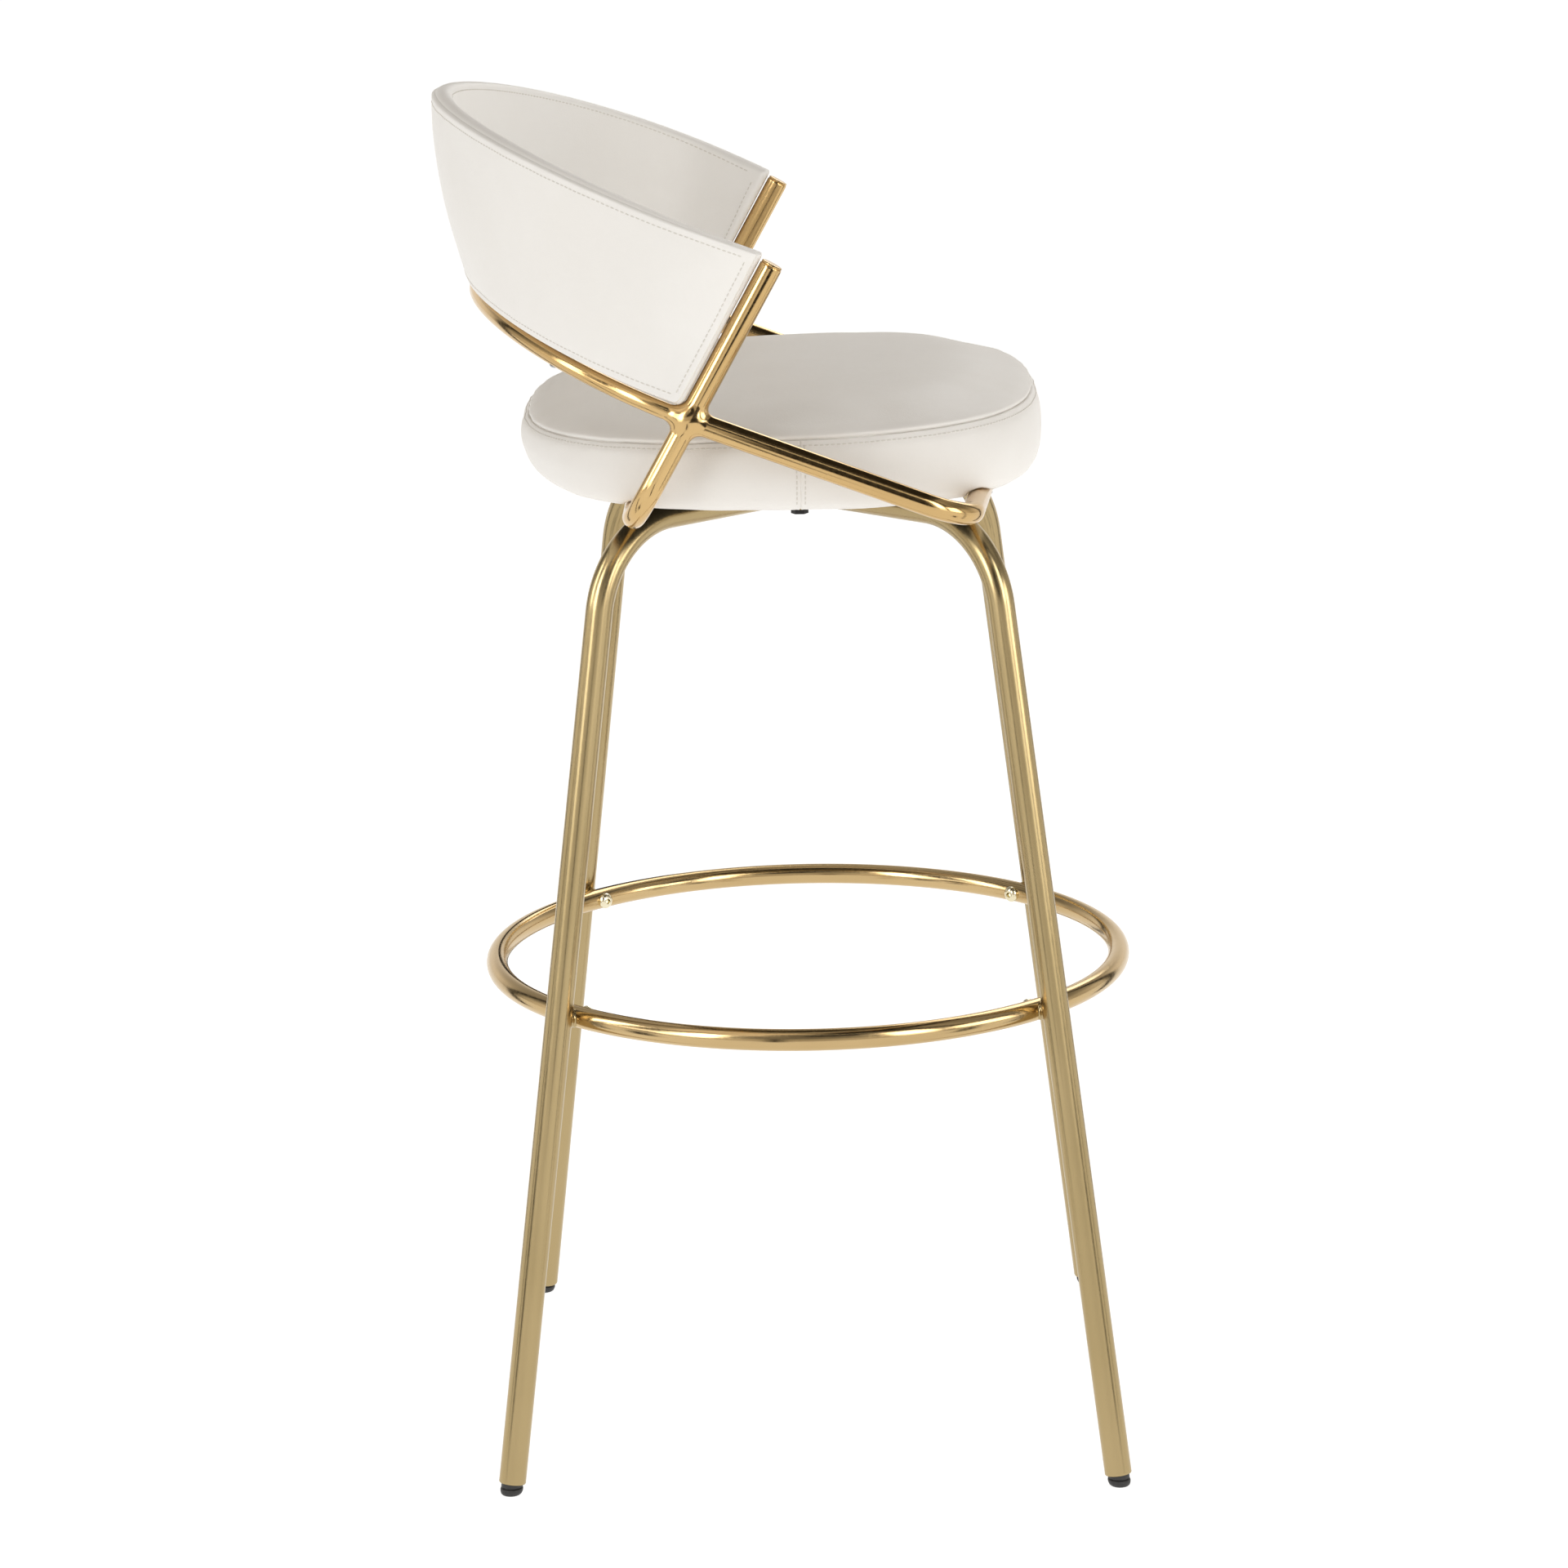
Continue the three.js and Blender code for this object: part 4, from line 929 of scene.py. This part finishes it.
def clear_of_posts(grid, gap=0.7):
    """Moves points of the back off the posts, square to them."""
    shape = grid.shape
    points = grid.reshape(-1, 3).copy()
    for x in (-SIDE_X, SIDE_X):
        foot = np.array([x, POST_TOP_Y, POST_TOP_Z])
        rel = points - foot
        along = rel @ post_up
        aside = rel - along[:, None] * post_up
        size = np.linalg.norm(aside, axis=1)
        near = size < FRAME_R + gap
        points[near] += aside[near] / size[near][:, None] * (FRAME_R + gap - size[near])[:, None]
    return points.reshape(shape)


def stitch_row(grid, outward, lines):
    """Stitches along polylines of grid positions (row, column), as fractions."""
    stitches = []
    rows, columns = grid.shape[:2]

    def at(row, column):
        r, c = int(min(max(row, 0), rows - 1.001)), int(min(max(column, 0), columns - 1.001))
        u, v = row - r, column - c
        here, above = (grid[i, c] * (1 - v) + grid[i, c + 1] * v for i in (r, r + 1))
        return here * (1 - u) + above * u, outward[r, c]

    for line in lines:
        dense = []
        for (r0, c0), (r1, c1) in zip(line, line[1:]):
            count = max(int(max(abs(r1 - r0), abs(c1 - c0)) * 4), 1)
            dense += [at(r0 + (r1 - r0) * i / count, c0 + (c1 - c0) * i / count) for i in range(count)]
        points, normals = (np.array(values) for values in zip(*dense))
        far = travelled(points)
        for start in np.arange(0, far[-1] - STITCH_LENGTH, STITCH_STEP):
            out = unit([np.interp(start, far, normals[:, i]) for i in range(3)])
            first, last = (np.array([np.interp(stop, far, points[:, i]) for i in range(3)]) + out * 0.1
                           for stop in (start, start + STITCH_LENGTH))
            stitches.append((first, last, out))
    return stitches


# Each pad: its name, the nodes it stands for, the face that shows, how deep its stitches sit, the seeds of
# its puckers and slow waves, and its shape.
BACK_PADS = (
    ("back_inner_panel", ["back_pad_inner", "back_core"], INNER, 0.08, 32, 34,
     Pad(-BACK_HALF_T, 5.4, 0, 4.6, 0.0, 0.0, 0.0, (7.0, 3.0))),
    ("back_outer_panel", ["back_pad_outer"], OUTER, 0.25, 31, 33,
     Pad(-1.5, BACK_HALF_T, BACK_BULGE, 2.0, 1.0, 1.9, 4.2, (6.0, 2.2))),
)
back_stitches = []
for name, replaced, shown, dip, pucker_seed, slow_seed, pad in BACK_PADS:
    if shown == OUTER:
        pad.faces[OUTER] = pad.faces[OUTER] + pad.swelling(OUTER_SWELL, OUTER_SWELL, OUTER_HELD)
    outward = pad.outward if shown == OUTER else -pad.outward
    face, nearest, from_stitch = pad.faces[shown], pad.nearest, pad.nearest - BACK_STITCH
    relief = -dip * bell(from_stitch, 1.8) * (nearest > 1.5)
    relief += BACK_PUCKER * waves(face, pucker_seed, 24) * bell(from_stitch, 10) * (nearest > 3)
    relief += BACK_SLOW_WAVE * waves(face, slow_seed, 110) * np.clip(nearest / 25, 0, 1)
    pad.faces[shown] = face + outward * relief[..., None]
    pad.faces = [clear_of_posts(face) for face in pad.faces]
    panel = piece(name, pad.solid()[0], LIGHTENED_BACK_LEATHER, "seat", replaced, 55)
    back_stitches = stitch_row(pad.faces[shown], outward, pad.rim_lines(BACK_STITCH)) + back_stitches
piece("back_stitching", capsules(back_stitches, STITCH_R), THREAD, "seat")

# Low domed screws through the hoop into the back.
HOOP_SCREW = [(1.5, 4), (1.5, 0.6), (3.1, 0.4), (3.2, -0.1), (2.9, -0.7), (2.2, -1.15), (1.3, -1.35),
              (0.9, -1.3), (0.8, -0.4), (0.1, -0.3)]
for name, t in (("right", 0.2), ("rear", 0.5), ("left", 0.8)):
    low, high = lower_edge(np.array(t)), top_edge(np.array(t))
    along = unit(high - low)
    foot = low - (0, 0, BACK_LIFT) - along * HOOP_R
    piece(f"hoop_screw_{name}", lathe(HOOP_SCREW, foot, along, 40), ZINC, "seat", [f"back_screw_{name}"], 50)

# ---- Finishes of the frame's own pieces ----
EASED_EDGE = 0.0004           # metres
CARRIED = {"swivel_lower_plate": BLACK_STEEL, "seat_plate": BLACK_STEEL, "centre_bolt": BLACK_STEEL,
           "swivel_ball_ring": ZINC, "centre_washer": ZINC, "centre_nut": ZINC, "seat_board": PLYWOOD}
for name, node in nodes.items():
    finish = ZINC if name.startswith(("plate_screw", "seat_bolt")) else CARRIED.get(name)
    if finish is None:
        continue
    node.data.materials.clear()
    node.data.materials.append(finish)
    if finish is not PLYWOOD:
        bevel = node.modifiers.new("eased_edges", "BEVEL")
        bevel.width = EASED_EDGE
        bevel.segments = 2
        bevel.limit_method = "ANGLE"


# ---- Stage ----
def stage_material(name, diffuse, glow):
    mat = bpy.data.materials.new(name)
    mat.use_nodes = True
    shader = mat.node_tree.nodes["Principled BSDF"]
    shader.inputs["Base Color"].default_value = (*diffuse, 1)
    shader.inputs["Roughness"].default_value = 0.9
    shader.inputs["Specular IOR Level"].default_value = 0.0
    shader.inputs["Emission Color"].default_value = (1, 0.995, 0.985, 1)
    shader.inputs["Emission Strength"].default_value = glow
    return mat


def stage_object(name, points, faces, material, unseen=()):
    """A mesh of the stage, in metres, that the kinds of ray in unseen don't meet."""
    obj = linked(name, points, faces, material)
    for kind in unseen:
        setattr(obj, f"visible_{kind}", False)


FLOOR_R = 60
DOME_R = 58
BLACK = (0, 0, 0)
floor_white = stage_material("floor_white", (0.30, 0.30, 0.298), 0.93)
floor_points = [(FLOOR_R * math.cos(a), FLOOR_R * math.sin(a), 0) for a in around(96)]
stage_object("floor", floor_points, [list(range(96))], floor_white)
dome = [(DOME_R * math.cos(a), DOME_R * math.sin(a)) for a in np.linspace(-0.02, math.pi / 2 - 0.01, 24)]
dome_points, dome_faces = lathe(dome, (0, 0, 0), up, 96)
stage_object("backdrop", dome_points.tolist(), dome_faces[:-2], stage_material("backdrop_white", BLACK, 1.0),
             ("diffuse", "glossy", "shadow", "transmission"))

# ---- Studio light ----
WALLS = [(0.0, 0.95), (0.13, 1.0), (0.2, 0.55), (0.27, 1.0), (0.315, 0.95), (0.335, 0.10), (0.365, 0.16),
         (0.39, 0.75), (0.5, 0.62), (0.6, 0.80), (0.635, 0.2), (0.66, 0.12), (0.69, 1.0), (0.78, 1.0),
         (0.84, 0.5), (0.9, 1.0), (1.0, 0.95)]         # brightness round the studio, from the stool's left
CEILING = [(0.5, 1.0), (0.62, 1.0), (0.69, 0.6), (0.77, 0.34), (0.88, 0.52), (1.0, 0.46)]   # from the horizon
CEILING_TINT = (1.0, 0.96, 0.90)


def studio_world():
    """A bright studio with a darker ceiling and darker gaps between its tall soft boxes."""
    world = bpy.data.worlds.new("studio")
    bpy.context.scene.world = world
    world.use_nodes = True
    tree = world.node_tree
    background = tree.nodes["Background"]
    split = tree.nodes.new("ShaderNodeSeparateXYZ")
    tree.links.new(tree.nodes.new("ShaderNodeTexCoord").outputs["Generated"], split.inputs[0])

    def computed(operation, first, second):
        links, values = {0: first}, {}
        (values if isinstance(second, float) else links)[1] = second
        return add_node(tree, "Math", "Value", links, values, operation=operation)

    def ramp(value, stops, tint=(1, 1, 1)):
        node = tree.nodes.new("ShaderNodeValToRGB")
        elements = node.color_ramp.elements
        while len(elements) < len(stops):
            elements.new(0.5)
        for element, (place, level) in zip(elements, stops):
            element.position = place
            element.color = (level * tint[0], level * tint[1], level * tint[2], 1)
        tree.links.new(value, node.inputs["Fac"])
        return node.outputs["Color"]

    turn = computed("ARCTAN2", split.outputs["Y"], computed("MULTIPLY", split.outputs["X"], -1.0))
    turn = computed("ADD", computed("DIVIDE", turn, 2 * math.pi), 0.5)
    height = computed("ADD", computed("MULTIPLY", split.outputs["Z"], 0.5), 0.5)
    colours = {"A": ramp(turn, WALLS), "B": ramp(height, CEILING, CEILING_TINT)}
    mix = add_node(tree, "Mix", "Result", colours, {"Factor": 1.0}, data_type="RGBA", blend_type="MULTIPLY")
    tree.links.new(mix, background.inputs["Color"])
    background.inputs["Strength"].default_value = 1.0


studio_world()
# Soft boxes: name, place, what they face, size in metres, power in watts and colour.
for name, place, aim, size, power, colour in (
    ("key_left", (-2.6, 2.4, 1.7), (0, 0, 0.6), (1.2, 2.2), 18, (0.98, 0.99, 1.0)),
    ("key_right", (-2.8, -2.2, 1.5), (0, 0, 0.6), (1.0, 2.2), 10, (0.98, 0.99, 1.0)),
    ("rim", (2.4, -0.8, 2.4), (0, 0, 0.7), (1.4, 1.4), 15, (1, 1, 1)),
    ("overhead", (-1.0, 0.9, 3.0), (0, 0.05, 0.8), (1.6, 1.6), 6, (1.0, 0.90, 0.80)),
    ("front_fill", (-1.4, -2.7, 1.25), (0, 0.12, 0.93), (1.2, 1.2), 18, (1.0, 0.985, 0.965)),
):
    light = bpy.data.lights.new(name, "AREA")
    light.shape = "RECTANGLE"
    light.size, light.size_y = size
    light.energy = power
    light.color = colour
    soft_box = bpy.data.objects.new(name, light)
    soft_box.location = place
    soft_box.rotation_euler = (Vector(aim) - Vector(place)).to_track_quat("-Z", "Y").to_euler()
    bpy.context.scene.collection.objects.link(soft_box)

# ---- Reflected cards: seen only in the polished tubes, where they draw dark streaks and white glints ----
FLAG_DISTANCE = 0.85
FLAGS = ((52, 0.13, 0, 0.30), (-50, 0.10, 0, 0.30), (9, 0.08, 0.25, 0.62), (68, 0.07, 0, 0.66),
         (-69, 0.05, 0, 1.5), (112, 0.12, 0, 1.5), (-118, 0.12, 0, 1.5), (168, 0.10, 0, 1.5))
GLINT_DISTANCE = 4.0
GLINT_GLOW = 5.5
GLINTS = ((39, 1.0, 1.25, 4.4), (-37, 1.0, 1.25, 4.4), (80, 1.0, 1.25, 4.4))
SHEEN_GLOW = 1.9
SHEEN = (58, 1.5, 1.15, 2.0)  # the broad soft light on the rear side of the posts
# Flags, glints and sheen: (degrees from -X towards +Y, width, bottom, top).
BROW_X = -0.62                # cards on the sitter's right, level with the seat and above
BROWS = (((0.72, -0.24, 0.06), (0.93, -0.24, -0.06)), ((0.93, -0.27, 0.16), (1.07, -0.27, 0.16)),
         ((1.10, -0.30, 0.16), (1.36, -0.40, 0.16)))     # low and high edge, each (height, front, rear)
SLIT = ((1.07, -0.3, 0.16), (1.10, -0.3, 0.16))          # the lit gap between the two upper ones
SLIT_GLOW = 2.0
CANOPY_Z = 1.37
CANOPY = ((-0.62, -0.50), (0.5, -0.50), (0.5, -0.10), (-0.62, -0.10))


def reflected_card(name, corners, material):
    stage_object(name, corners, [[0, 1, 2, 3]], material, ("camera", "diffuse", "shadow"))


def upright_card(name, distance, material, turn, width, bottom, top):
    """A card that faces the stool."""
    middle = math.radians(180 - turn)
    side = Vector((-math.sin(middle), math.cos(middle), 0)) * (width / 2)
    base = Vector((math.cos(middle), math.sin(middle), 0)) * distance
    low, high = Vector((0, 0, bottom)), Vector((0, 0, top))
    corners = [base - side + low, base + side + low, base + side + high, base - side + high]
    reflected_card(name, corners, material)


def brow_card(name, low_edge, high_edge, material):
    (low, low_front, low_rear), (high, high_front, high_rear) = low_edge, high_edge
    corners = [(low_front, low), (low_rear, low), (high_rear, high), (high_front, high)]
    reflected_card(name, [(BROW_X, y, z) for y, z in corners], material)


flag_black = stage_material("flag_black", (0.02, 0.018, 0.015), 0.0)
glint_white = stage_material("glint_white", BLACK, GLINT_GLOW)
for index, flag in enumerate(FLAGS):
    upright_card(f"flag_{index}", FLAG_DISTANCE, flag_black, *flag)
for index, edges in enumerate(BROWS):
    brow_card(f"brow_{index}", *edges, flag_black)
reflected_card("canopy", [(x, y, CANOPY_Z) for x, y in CANOPY], flag_black)
brow_card("slit", *SLIT, stage_material("slit_white", BLACK, SLIT_GLOW))
for index, glint in enumerate(GLINTS):
    upright_card(f"glint_{index}", GLINT_DISTANCE, glint_white, *glint)
upright_card("sheen", GLINT_DISTANCE, stage_material("sheen_white", BLACK, SHEEN_GLOW), *SHEEN)

# ---- Camera ----
CAMERA_PLACE = Vector((-3.6298, -0.004075, 1.355))
CAMERA_FORWARD = Vector((0.9723, 0.0028, -0.2337))
CAMERA_UP = Vector((0.2338, -0.0186, 0.9721))
CAMERA_LENS = 112.63
CAMERA_ORBIT = math.radians(0.5)

camera_data = bpy.data.cameras.new("camera")
camera_data.lens = CAMERA_LENS
camera_data.sensor_width = 36
camera_data.clip_end = 200
camera = bpy.data.objects.new("camera", camera_data)
right = CAMERA_FORWARD.cross(CAMERA_UP).normalized()
up = right.cross(CAMERA_FORWARD).normalized()
turned = Matrix.Identity(4)
for column, axis in enumerate((right, up, -CAMERA_FORWARD.normalized())):
    for row in range(3):
        turned[row][column] = axis[row]
camera.matrix_world = Matrix.Rotation(CAMERA_ORBIT, 4, "Z") @ Matrix.Translation(CAMERA_PLACE) @ turned
bpy.context.scene.collection.objects.link(camera)
bpy.context.scene.camera = camera
bpy.context.scene.view_settings.view_transform = "Standard"
